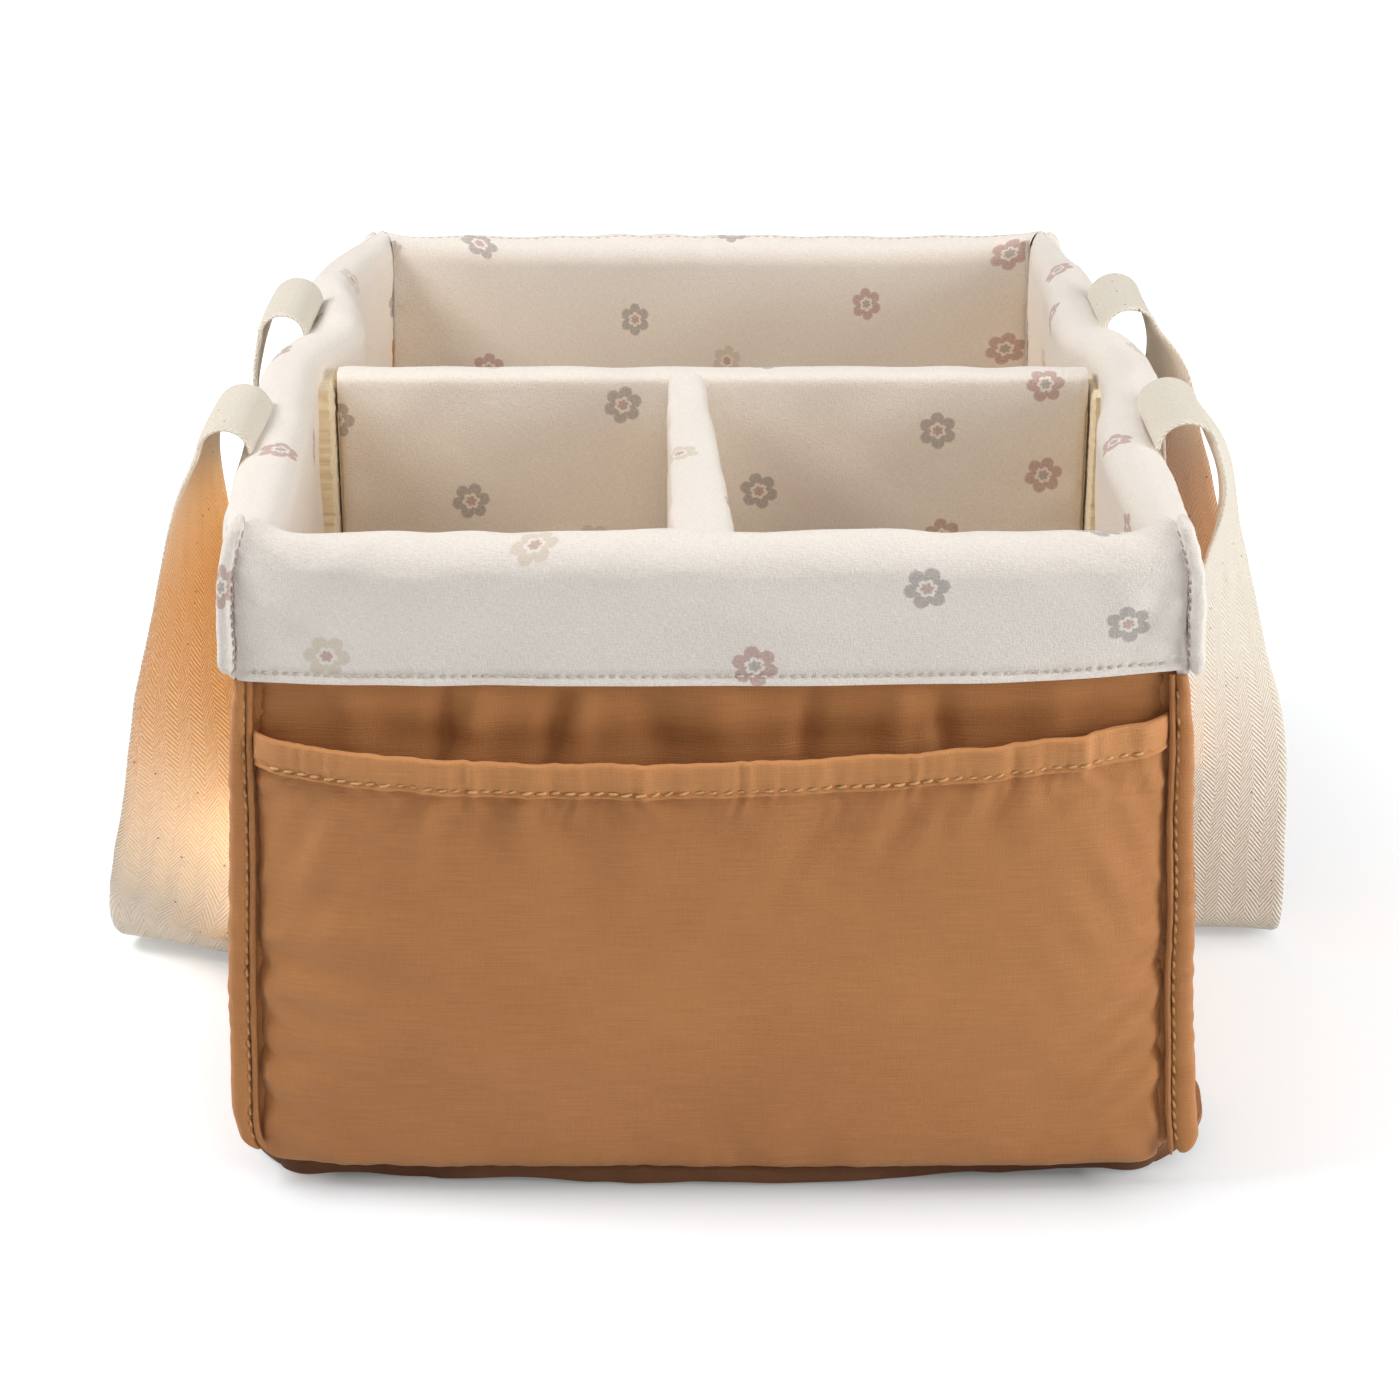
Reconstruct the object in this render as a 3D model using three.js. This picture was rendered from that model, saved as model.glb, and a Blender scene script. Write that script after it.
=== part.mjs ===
// Soft caddy: padded walls with a turned-over lining, a front pocket, a T-shaped divider, two webbing handles.
// Millimetres, +Z up, +Y to the back. The origin is the middle of the base, on the surface it stands on.
import * as THREE from 'three';

// Body
const bodyHeight = 181;
const baseHalfWidth = 120;
const rimHalfWidth = 113.5;
const baseHalfDepth = 150;
const rimHalfDepth = 147;
const sideCrown = 6;
const sideBelly = 5;
const endCrown = 2;
const endBelly = 2;
const waveHeight = 10;
const waveFootShare = 0.3;

// Cloth, padding and the clearance between pieces
const clothThickness = 1.2;
const gap = 0.3;
const mitreGap = 0.25;
const cornerWall = 6;
const padding = 8;
const paddingBelly = 3;

// Floor
const trayThickness = 1.5;
const trayHeight = 6;
const trayEdge = 1.5;
const boardThickness = 4;

// Turned-over rim
const cuffDepth = 38;
const cuffStandOff = 3;
const rimRise = 9;
const foamRise = 6.8;
const cuffInside = 6;

// Corner seams
const bodySeamRadius = 2;
const cuffSeamRadius = 1.5;

// Front pocket
const pocketDrop = 19.5;
const pocketSag = 10.5;
const pocketClearance = 0.5;
const pocketBulge = 7;
const pocketBulgeHeight = 62;
const hemHeight = 9.5;

// Divider insert and the tapes that hold it
const dividerThickness = 12;
const dividerDrop = 6;
const dividerFrontY = 5;
const dividerCrown = 2.5;
const dividerTopRise = 5;
const dividerFloorGap = 0.4;
const coreClearance = 0.7;
const centreOffset = -2;
const centreCrown = 3;
const taperLength = 9;
const seamRadius = 0.8;
const hingeStripLength = 4.5;
const hingeStripMargin = 6;
const hookWidth = 11;
const loopWidth = 25;
const tapeThickness = 1.2;
const tapeGap = 0.3;
const swingGap = 0.5;
const tapeBottom = 12;
const tapeTopMargin = 2;

// Handles
const webbingWidth = 40;
const webbingThickness = 1.8;
const hingeDrop = 1;
const tabRise = 7;
const tabSeat = 1.1;
const bendRadius = 12;
const floorClearance = 2.5;
const leftExitX = 137;
const leftFrontY = -62;
const leftRearY = 48;
const leftBottomX = 163.5;
const leftBottomY = -34;
const rightExitX = 134.5;
const rightFrontY = -58;
const rightRearY = 52;
const rightBottomX = 154;
const rightBottomY = -24;

// Where each wall is sampled along its length, and up its height
const sideStationShares = [
  -1, -0.94, -0.86, -0.75, -0.625, -0.5, -0.375, -0.25, -0.125,
  0, 0.125, 0.25, 0.375, 0.5, 0.625, 0.75, 0.86, 0.94, 1,
];
const endStationShares = [-1, -0.94, -0.85, -0.7, -0.5, -0.25, 0, 0.25, 0.5, 0.7, 0.85, 0.94, 1];
const levelShares = [0.22, 0.5];

// How far each side wall is pushed out along its length, as shares of the wave height
const leftWaveShares = [
  [-1, 0], [-0.83, 0.15], [-0.5, 0.45], [0, 1], [0.12, 0.85], [0.32, 0.1],
  [0.43, 0.17], [0.67, 0.85], [0.87, 0.6], [1, 0],
];
const rightWaveShares = [
  [-1, 0], [-0.8, 0], [-0.4, 0], [-0.17, 0.6], [0, 0.9], [0.12, 0.85], [0.3, 0.15],
  [0.42, 0], [0.5, 0.05], [0.73, 0.2], [1, 0],
];

// The pocket mouth: place across the front, rise as a share of the sag
const mouthShares = [[-1, 0.42], [-0.8, 0.25], [-0.45, 0], [0, 0], [0.5, 0.4], [0.85, 0.85], [1, 1]];

// A handle leg from its seam to its bend: way down, way out, turn of the webbing, way to the other leg
const leftLegShares = [
  [0, 0, 0, 0], [0.067, 0.14, 0.06, 0.02], [0.109, 0.183, 0.1, 0.04], [0.198, 0.237, 0.17, 0.08],
  [0.333, 0.323, 0.27, 0.18], [0.469, 0.452, 0.35, 0.29], [0.646, 0.516, 0.51, 0.5],
  [0.745, 0.602, 0.61, 0.6], [0.876, 0.774, 0.74, 0.79], [0.96, 0.9, 0.87, 0.93], [1, 1, 1, 1],
];
const rightLegShares = [
  [0, 0, 0, 0], [0.061, 0.26, 0.09, 0.03], [0.127, 0.36, 0.17, 0.06], [0.236, 0.4, 0.28, 0.09],
  [0.333, 0.45, 0.39, 0.18], [0.503, 0.65, 0.58, 0.35], [0.697, 0.88, 0.78, 0.59],
  [0.848, 0.92, 0.91, 0.79], [1, 1, 1, 1],
];
const leftBendTurn = 108;
const rightBendTurn = 90;
const rearTurn = 180;
const legSteps = 14;
const bendSteps = 6;
const tabSteps = 8;

const caramel = new THREE.MeshStandardMaterial({ color: 0xa87544, roughness: 0.72, metalness: 0 });
const caramelEdge = new THREE.MeshStandardMaterial({ color: 0x96663a, roughness: 0.75, metalness: 0 });
const cream = new THREE.MeshStandardMaterial({ color: 0xeee6da, roughness: 0.82, metalness: 0 });
const foam = new THREE.MeshStandardMaterial({ color: 0xf2efe6, roughness: 0.95, metalness: 0 });
const board = new THREE.MeshStandardMaterial({ color: 0xb9b2a4, roughness: 0.85, metalness: 0 });
const webbing = new THREE.MeshStandardMaterial({ color: 0xeeddc1, roughness: 0.88, metalness: 0 });
const tape = new THREE.MeshStandardMaterial({ color: 0xece0bd, roughness: 0.95, metalness: 0 });

const caddy = new THREE.Group();

// Adds a copy of the material so that each mesh has one of its own.
function add(name, geometry, material) {
  const mesh = new THREE.Mesh(geometry, material.clone());
  mesh.name = name;
  caddy.add(mesh);
}

// A smooth value read from rows of [place, value, ...] with a cubic through the rows.
function along(rows, at, column = 1) {
  let i = 0;
  while (i < rows.length - 2 && at > rows[i + 1][0]) i += 1;
  const slope = (k) => {
    const before = rows[Math.max(k - 1, 0)];
    const after = rows[Math.min(k + 1, rows.length - 1)];
    return (after[column] - before[column]) / (after[0] - before[0]);
  };
  const span = rows[i + 1][0] - rows[i][0];
  const s = (at - rows[i][0]) / span;
  const values = rows[i][column] * (1 - s) ** 2 * (1 + 2 * s) + rows[i + 1][column] * s ** 2 * (3 - 2 * s);
  return values + span * s * (1 - s) * ((1 - s) * slope(i) - s * slope(i + 1));
}

// One closed solid from points and faces, turned so that its faces point out.
function closedSolid(points, faces) {
  const volume = faces.reduce((sum, [a, b, c]) => {
    const cross = new THREE.Vector3().crossVectors(points[b], points[c]);
    return sum + points[a].dot(cross);
  }, 0);
  const outward = volume < 0 ? faces.map(([a, b, c]) => [a, c, b]) : faces;
  const geometry = new THREE.BufferGeometry();
  geometry.setAttribute('position', new THREE.Float32BufferAttribute(points.flatMap((p) => p.toArray()), 3));
  geometry.setIndex(outward.flat());
  geometry.computeVertexNormals();
  return geometry;
}

// A thick sheet: a grid of outer points and a matching grid of inner points, closed around its edge.
function sheetSolid(outer, inner) {
  const columns = outer.length;
  const rows = outer[0].length;
  const points = [...outer.flat(), ...inner.flat()];
  const out = (i, j) => i * rows + j;
  const into = (i, j) => columns * rows + i * rows + j;
  const faces = [];
  for (let i = 0; i < columns - 1; i += 1) {
    for (let j = 0; j < rows - 1; j += 1) {
      faces.push([out(i, j), out(i + 1, j), out(i + 1, j + 1)], [out(i, j), out(i + 1, j + 1), out(i, j + 1)]);
      faces.push([into(i, j), into(i + 1, j + 1), into(i + 1, j)], [into(i, j), into(i, j + 1), into(i + 1, j + 1)]);
    }
    const last = rows - 1;
    faces.push([out(i, 0), into(i, 0), into(i + 1, 0)], [out(i, 0), into(i + 1, 0), out(i + 1, 0)]);
    faces.push([out(i, last), into(i + 1, last), into(i, last)], [out(i, last), out(i + 1, last), into(i + 1, last)]);
  }
  for (let j = 0; j < rows - 1; j += 1) {
    const last = columns - 1;
    faces.push([out(0, j), into(0, j + 1), into(0, j)], [out(0, j), out(0, j + 1), into(0, j + 1)]);
    faces.push([out(last, j), into(last, j), into(last, j + 1)], [out(last, j), into(last, j + 1), out(last, j + 1)]);
  }
  return closedSolid(points, faces);
}

// A solid through closed rings of points, capped from the middle of its first and last ring.
function ringSolid(rings) {
  const count = rings[0].length;
  const points = rings.flat();
  const faces = [];
  for (let k = 0; k < rings.length - 1; k += 1) {
    for (let i = 0; i < count; i += 1) {
      const next = (i + 1) % count;
      const [a, b, c, d] = [k * count + i, k * count + next, (k + 1) * count + next, (k + 1) * count + i];
      faces.push([a, b, c], [a, c, d]);
    }
  }
  const middle = (ring) => ring.reduce((sum, p) => sum.add(p), new THREE.Vector3()).divideScalar(count);
  const first = points.length;
  points.push(middle(rings[0]), middle(rings[rings.length - 1]));
  const lastRing = (rings.length - 1) * count;
  for (let i = 0; i < count; i += 1) {
    const next = (i + 1) % count;
    faces.push([first, next, i], [first + 1, lastRing + i, lastRing + next]);
  }
  return closedSolid(points, faces);
}

// Body surface
const halfWidth = (z) => baseHalfWidth + (rimHalfWidth - baseHalfWidth) * (z / bodyHeight);
const halfDepth = (z) => baseHalfDepth + (rimHalfDepth - baseHalfDepth) * (z / bodyHeight);
const puff = (t) => 1 - Math.abs(t) ** 6;
const belly = (z) => Math.sin(Math.PI * Math.min(z / bodyHeight, 1));
const wallThickness = (t, z) => cornerWall + puff(t) * (padding + paddingBelly * belly(z));

// Each wall places a point at t along its length, at height z and at a depth in from its surface.
const sideWall = (sign, waveShares) => (t, z, depth) => {
  const waveRise = waveFootShare + (1 - waveFootShare) * (z / bodyHeight) ** 2;
  const crown = puff(t) * (sideCrown + sideBelly * belly(z)) + waveHeight * along(waveShares, t) * waveRise;
  return new THREE.Vector3(sign * (halfWidth(z) + crown - depth), t * (halfDepth(z) - depth - mitreGap), z);
};
const endWall = (sign) => (t, z, depth) => {
  const crown = puff(t) * (endCrown + endBelly * belly(z));
  return new THREE.Vector3(t * (halfWidth(z) - depth - mitreGap), sign * (halfDepth(z) + crown - depth), z);
};
const walls = [
  { name: 'left', stations: sideStationShares, place: sideWall(-1, leftWaveShares) },
  { name: 'right', stations: sideStationShares, place: sideWall(1, rightWaveShares) },
  { name: 'front', stations: endStationShares, place: endWall(-1) },
  { name: 'back', stations: endStationShares, place: endWall(1) },
];

// Heights shared by the layers
const cuffEdgeZ = bodyHeight - cuffDepth;
const rimZ = bodyHeight - rimRise;
const cuffEndZ = rimZ - cuffInside;
const foamRimZ = rimZ - gap;
const panelBottomZ = trayHeight + gap;
const boardBottomZ = trayThickness + gap;
const floorBottomZ = boardBottomZ + boardThickness + gap;
const floorTopZ = floorBottomZ + clothThickness;
const liningBottomZ = floorTopZ + gap;
const levels = levelShares.map((share) => share * bodyHeight);
const wallLevels = [...levels, cuffEdgeZ];
const pocketHeight = cuffEdgeZ - pocketDrop;
const dividerHeight = bodyHeight - dividerDrop;
const tapeTop = cuffEndZ - tapeTopMargin;
const hingeHeight = bodyHeight - hingeDrop;

// A grid of points over one wall, from a list of [depth, z] for each station.
const wallGrid = (wall, section) => wall.stations.map((t) => section(t).map(([depth, z]) => wall.place(t, z, depth)));

// Points over the top of a wall, from one depth to another, rising by the given height.
function overTop(fromDepth, toDepth, z, rise, angles) {
  const middle = (fromDepth + toDepth) / 2;
  const half = (toDepth - fromDepth) / 2;
  return angles.map((angle) => {
    const a = THREE.MathUtils.degToRad(angle);
    return [middle - half * Math.cos(a), z + rise * Math.sin(a)];
  });
}

const arcAngles = [30, 60, 90, 120, 150];
for (const wall of walls) {
  const thickAt = (t, z) => wallThickness(t, z);
  const column = (depthAt, zs) => (t) => zs.map((z) => [depthAt(t, z), z]);

  // Outer cloth
  const panelZs = [panelBottomZ, ...wallLevels, foamRimZ];
  add(
    `${wall.name}_outer_panel`,
    sheetSolid(wallGrid(wall, column(() => 0, panelZs)), wallGrid(wall, column(() => clothThickness, panelZs))),
    caramel,
  );

  // Foam board, round along its top
  const foamZs = [boardBottomZ, ...wallLevels, foamRimZ];
  const foamFace = clothThickness + gap;
  const foamSection = (angles, depthAt) => (t) => [
    ...foamZs.map((z) => [depthAt(t, z), z]),
    ...overTop(foamFace, thickAt(t, foamRimZ) - foamFace, foamRimZ, foamRise, angles),
  ];
  add(
    `${wall.name}_foam`,
    sheetSolid(
      wallGrid(wall, foamSection([30, 60], () => foamFace)),
      wallGrid(wall, foamSection([150, 120], (t, z) => thickAt(t, z) - foamFace)),
    ),
    foam,
  );

  // Lining cloth
  const liningZs = [liningBottomZ, ...wallLevels, cuffEndZ - gap];
  add(
    `${wall.name}_lining`,
    sheetSolid(
      wallGrid(wall, column((t, z) => thickAt(t, z) - clothThickness, liningZs)),
      wallGrid(wall, column((t, z) => thickAt(t, z), liningZs)),
    ),
    cream,
  );

  // Cuff: the lining turned over the rim and down the outside
  const cuffSection = (outside, inside, rise) => (t) => {
    const skirt = [[outside, cuffEdgeZ], [outside, rimZ]];
    const inner = (z) => thickAt(t, z) - inside;
    const over = overTop(outside, inner(rimZ), rimZ, rise, arcAngles);
    return [...skirt, ...over, [inner(rimZ), rimZ], [inner(cuffEndZ), cuffEndZ]];
  };
  add(
    `${wall.name}_cuff`,
    sheetSolid(
      wallGrid(wall, cuffSection(-cuffStandOff, 0, rimRise)),
      wallGrid(wall, cuffSection(-gap, clothThickness, rimRise - clothThickness - gap)),
    ),
    cream,
  );
}

// An outline around the whole body at one height and depth, from the right wall to the front wall.
function outline(z, depthAt) {
  const order = [[1, false], [3, true], [0, true], [2, false]];
  return order.flatMap(([index, backwards]) => {
    const { stations, place } = walls[index];
    const ts = backwards ? [...stations].reverse() : stations;
    return ts.map((t) => place(t, z, depthAt(t)));
  });
}

// Bottom cloth with its border turned up
const trayRing = (z, depth) => outline(z, () => depth);
add(
  'bottom_panel',
  ringSolid([
    trayRing(0, trayEdge),
    trayRing(trayThickness, 0),
    trayRing(trayHeight, 0),
    trayRing(trayHeight, clothThickness),
    trayRing(trayThickness, clothThickness),
  ]),
  caramelEdge,
);

// Stiff board and the lining on it, between the foam boards
const floorRing = (z) => outline(z, (t) => wallThickness(t, z) - clothThickness);
add('base_board', ringSolid([floorRing(boardBottomZ), floorRing(boardBottomZ + boardThickness)]), board);
add('floor_lining', ringSolid([floorRing(floorBottomZ), floorRing(floorTopZ)]), cream);

// Corner seams: a rounded ridge just outside each corner of the body and of the cuff
function seam(name, radius, standOff, bottomZ, topZ, signX, signY, material) {
  const offset = standOff + (radius + gap) / Math.SQRT2;
  const geometry = ringSolid([bottomZ, topZ].map((z) => Array.from({ length: 10 }, (_, i) => {
    const a = (i / 10) * 2 * Math.PI;
    const x = signX * (halfWidth(z) + offset) + radius * Math.cos(a);
    const y = signY * (halfDepth(z) + offset) + radius * Math.sin(a);
    return new THREE.Vector3(x, y, z);
  })));
  add(name, geometry, material);
}
const corners = [['front_left', -1, -1], ['front_right', 1, -1], ['back_left', -1, 1], ['back_right', 1, 1]];
for (const [corner, signX, signY] of corners) {
  seam(`${corner}_seam`, bodySeamRadius, 0, panelBottomZ, cuffEdgeZ - gap, signX, signY, caramelEdge);
  seam(`${corner}_cuff_seam`, cuffSeamRadius, cuffStandOff, cuffEdgeZ, rimZ, signX, signY, cream);
}

// Front pocket: a cloth that lies on the front wall at its sides and bottom and stands off at its mouth
const pocketSide = bodySeamRadius - (bodySeamRadius + gap) / Math.SQRT2 + gap;
const mouthZ = (t) => pocketHeight + pocketSag * along(mouthShares, t);
function pocketPoint(t, z, depth) {
  const onWall = walls[2].place(t, z, 0);
  const swell = Math.sin((Math.PI / 2) * Math.min(z / pocketBulgeHeight, 1));
  const off = pocketClearance + pocketBulge * puff(t) * swell;
  return new THREE.Vector3(t * (halfWidth(z) - pocketSide), onWall.y - off - clothThickness + depth, z);
}
const pocketZs = (t) => {
  const band = mouthZ(t) - hemHeight;
  const middle = (levels[1] + band) / 2;
  return [panelBottomZ, levels[0] / 2, levels[0], (levels[0] + levels[1]) / 2, levels[1], middle, band, mouthZ(t)];
};
const pocketGrid = (zsAt, depth) => endStationShares.map((t) => zsAt(t).map((z) => pocketPoint(t, z, depth)));
add('pocket_panel', sheetSolid(pocketGrid(pocketZs, 0), pocketGrid(pocketZs, clothThickness)), caramel);

const hemZs = (t) => [mouthZ(t) - hemHeight, mouthZ(t)];
add(
  'pocket_hem_band',
  sheetSolid(pocketGrid(hemZs, -gap - clothThickness), pocketGrid(hemZs, -gap)),
  caramelEdge,
);

// The inner face of a wall between two places along it: the nearest it comes to the middle at height z
function innerReach(wall, from, to, z, axis) {
  const facets = wall.stations.map((t) => wall.place(t, z, wallThickness(t, z)));
  const other = axis === 'x' ? 'y' : 'x';
  const at = (place) => {
    let i = 0;
    while (i < facets.length - 2 && place > facets[i + 1][other]) i += 1;
    const [p, q] = [facets[i], facets[i + 1]];
    return Math.abs(p[axis] + ((q[axis] - p[axis]) * (place - p[other])) / (q[other] - p[other]));
  };
  const inside = facets.filter((p) => p[other] > from && p[other] < to).map((p) => Math.abs(p[axis]));
  return Math.min(at(from), at(to), ...inside);
}

// A flat strip of tape that follows a wall: x and y are given for each height and depth.
function tapeSolid(zs, place) {
  return sheetSolid(
    [0, 1].map((side) => zs.map((z) => place(side, z, 0))),
    [0, 1].map((side) => zs.map((z) => place(side, z, tapeThickness))),
  );
}
const tapeZs = [tapeBottom, ...wallLevels, tapeTop];
const reachZs = [liningBottomZ, ...wallLevels, cuffEndZ, rimZ];
const dividerMiddleY = dividerFrontY + dividerThickness / 2;
const acrossCross = (side, width) => dividerMiddleY + (side - 1 / 2) * width;
const loopSpanY = [acrossCross(0, loopWidth), acrossCross(1, loopWidth)];
const loopSpanX = [centreOffset - loopWidth / 2, centreOffset + loopWidth / 2];

// Loop tapes, sewn on the lining
for (const [index, sign] of [[0, -1], [1, 1]]) {
  add(
    `${walls[index].name}_loop_tape`,
    tapeSolid(tapeZs, (side, z, depth) => {
      const x = innerReach(walls[index], ...loopSpanY, z, 'x') - gap - depth;
      return new THREE.Vector3(sign * x, acrossCross(side, loopWidth), z);
    }),
    tape,
  );
}
add(
  'front_loop_tape',
  tapeSolid(tapeZs, (side, z, depth) => {
    const y = innerReach(walls[2], ...loopSpanX, z, 'y') - gap - depth;
    return new THREE.Vector3(loopSpanX[side], -y, z);
  }),
  tape,
);

// How far the divider insert reaches, so that it lifts straight out past the tapes and the rim
const nearest = (index, span, axis) => Math.min(...reachZs.map((z) => innerReach(walls[index], ...span, z, axis)));
const tapeStack = gap + 2 * tapeThickness + gap;
const crossLeftX = -(nearest(0, loopSpanY, 'x') - tapeStack - tapeGap);
const crossRightX = nearest(1, loopSpanY, 'x') - tapeStack - tapeGap;
const centreFrontY = -(nearest(2, loopSpanX, 'y') - tapeStack - swingGap);

const insertBottomZ = floorTopZ + dividerFloorGap;
const insertRimZ = dividerHeight - dividerTopRise;
const insertMiddle = (insertBottomZ + insertRimZ) / 2;
const insertHalf = (insertRimZ - insertBottomZ) / 2;
const insertZs = [-1, -0.75, -0.25, 0.25, 0.75, 1].map((share) => insertMiddle + share * insertHalf);
const drawnIn = (z) => 1 - Math.abs((z - insertMiddle) / insertHalf) ** 4;

// A padded board: a cover folded over its top and a core inside, from two faces and the places along it
function paddedBoard(name, places, faceA, faceB, place) {
  const path = (at, inset, angles, zs) => {
    const [a, b] = [faceA(at, insertRimZ) + inset, faceB(at, insertRimZ) - inset];
    const top = angles.map((angle) => {
      const r = THREE.MathUtils.degToRad(angle);
      const across = (a + b) / 2 - ((b - a) / 2) * Math.cos(r);
      return place(at, across, insertRimZ + (dividerTopRise - inset) * Math.sin(r));
    });
    const up = zs.map((z) => place(at, faceA(at, z) + inset, z));
    const down = zs.map((z) => place(at, faceB(at, z) - inset, z));
    return { up, top, down };
  };
  const cover = (inset) => places.map((at) => {
    const { up, top, down } = path(at, inset, arcAngles, insertZs);
    return [...up, ...top, ...down.reverse()];
  });
  add(`${name}_cover`, sheetSolid(cover(0), cover(clothThickness)), cream);
  const coreInset = clothThickness + coreClearance;
  const upSide = places.map((at) => {
    const { up, top } = path(at, coreInset, [30, 60], insertZs);
    return [...up, ...top];
  });
  const downSide = places.map((at) => {
    const { top, down } = path(at, coreInset, [150, 120], insertZs);
    return [...down, ...top];
  });
  add(`${name}_core`, sheetSolid(upSide, downSide), foam);
}

// Cross divider: its front face is drawn in at its ends and at the seam of the centre divider
const halfStationShares = [0, 0.12, 0.32, 0.5, 0.68, 0.88, 1];
const crossXs = [
  ...halfStationShares.map((share) => crossLeftX + share * (centreOffset - crossLeftX)),
  ...halfStationShares.slice(1).map((share) => centreOffset + share * (crossRightX - centreOffset)),
];
function crossFront(x, z) {
  const [from, to] = x < centreOffset ? [crossLeftX, centreOffset] : [centreOffset, crossRightX];
  const share = (x - from) / (to - from);
  return dividerFrontY - dividerCrown * 4 * share * (1 - share) * drawnIn(z);
}
function crossBack(x, z) {
  const share = (x - crossLeftX) / (crossRightX - crossLeftX);
  return dividerFrontY + dividerThickness + dividerCrown * (1 - Math.abs(2 * share - 1) ** 4) * drawnIn(z);
}
paddedBoard('cross_divider', crossXs, crossFront, crossBack, (x, y, z) => new THREE.Vector3(x, y, z));

// Hook tapes on the ends of the cross divider
for (const [name, x, sign] of [['cross_left', crossLeftX, -1], ['cross_right', crossRightX, 1]]) {
  add(
    `${name}_hook_tape`,
    tapeSolid(tapeZs, (side, z, depth) => new THREE.Vector3(x + sign * (gap + depth), acrossCross(side, hookWidth), z)),
    tape,
  );
}

// Centre divider: it tapers to the seam that it swings on
const pivotY = dividerFrontY - gap - seamRadius;
const taper = (distance) => {
  const share = Math.min(distance / taperLength, 1);
  return seamRadius + (dividerThickness / 2 - seamRadius) * share;
};
const coverStart = hingeStripLength + gap;
const coverEnd = pivotY - centreFrontY;
const centreLengths = [
  coverStart,
  taperLength,
  ...[0.15, 0.35, 0.55, 0.75, 0.9, 1].map((share) => taperLength + share * (coverEnd - taperLength)),
];
const centreSwell = (distance, z) => {
  const share = Math.max((distance - taperLength) / (coverEnd - taperLength), 0);
  return centreCrown * share * (1 - share ** 4) * drawnIn(z) * 1.4;
};
paddedBoard(
  'centre_divider',
  centreLengths,
  (distance, z) => centreOffset - taper(distance) - centreSwell(distance, z) / 2,
  (distance, z) => centreOffset + taper(distance) + centreSwell(distance, z),
  (distance, x, z) => new THREE.Vector3(x, pivotY - distance, z),
);
add(
  'centre_hook_tape',
  tapeSolid(tapeZs, (side, z, depth) => {
    return new THREE.Vector3(centreOffset + (side - 1 / 2) * hookWidth, centreFrontY - gap - depth, z);
  }),
  tape,
);

// Hinge strip: the sewn edge of the centre divider's cover, round about the swing axis
const stripHalf = taper(hingeStripLength);
const stripOutline = [
  ...[0, 45, 90, 135, 180].map((angle) => {
    const a = THREE.MathUtils.degToRad(angle);
    return [centreOffset + seamRadius * Math.cos(a), pivotY + seamRadius * Math.sin(a)];
  }),
  [centreOffset - stripHalf, pivotY - hingeStripLength],
  [centreOffset + stripHalf, pivotY - hingeStripLength],
];
const stripRing = (z) => stripOutline.map(([x, y]) => new THREE.Vector3(x, y, z));
const stripEnds = [insertBottomZ + hingeStripMargin, insertRimZ - hingeStripMargin];
add('hinge_strip', ringSolid(stripEnds.map(stripRing)), cream);

// Webbing swept through frames of a centre, a width direction and a thickness direction
function ribbonSolid(frames) {
  const ring = ({ centre, wide, thick }) => [[-1, -1], [1, -1], [1, 1], [-1, 1]].map(([u, v]) => centre.clone()
    .addScaledVector(wide, (u * webbingWidth) / 2)
    .addScaledVector(thick, (v * webbingThickness) / 2));
  return ringSolid(frames.map(ring));
}

// Each handle: two sewn tabs that arch out of the rim, and a loop that hangs from them and bends at its foot
const handles = [
  {
    name: 'left',
    wall: walls[0],
    sign: -1,
    exitX: leftExitX,
    frontY: leftFrontY,
    rearY: leftRearY,
    bottomX: leftBottomX,
    bottomY: leftBottomY,
    shares: leftLegShares,
    bendTurn: leftBendTurn,
  },
  {
    name: 'right',
    wall: walls[1],
    sign: 1,
    exitX: rightExitX,
    frontY: rightFrontY,
    rearY: rightRearY,
    bottomX: rightBottomX,
    bottomY: rightBottomY,
    shares: rightLegShares,
    bendTurn: rightBendTurn,
  },
];
const bendZ = floorClearance + webbingThickness / 2 + bendRadius;
const widthAt = (turn) => {
  const a = THREE.MathUtils.degToRad(turn);
  return new THREE.Vector3(-Math.sin(a), -Math.cos(a), 0);
};

// The height of the rim's outer surface at a place: x out from the middle, y along the wall
function rimSurface(wall, x, y) {
  const t = y / (halfDepth(rimZ) + cuffStandOff - mitreGap);
  const surface = Math.abs(wall.place(t, rimZ, 0).x);
  const from = surface + cuffStandOff;
  const to = surface - wallThickness(t, rimZ);
  const across = (x - (from + to) / 2) / ((from - to) / 2);
  return rimZ + rimRise * Math.sqrt(Math.max(1 - across ** 2, 0));
}

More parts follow.
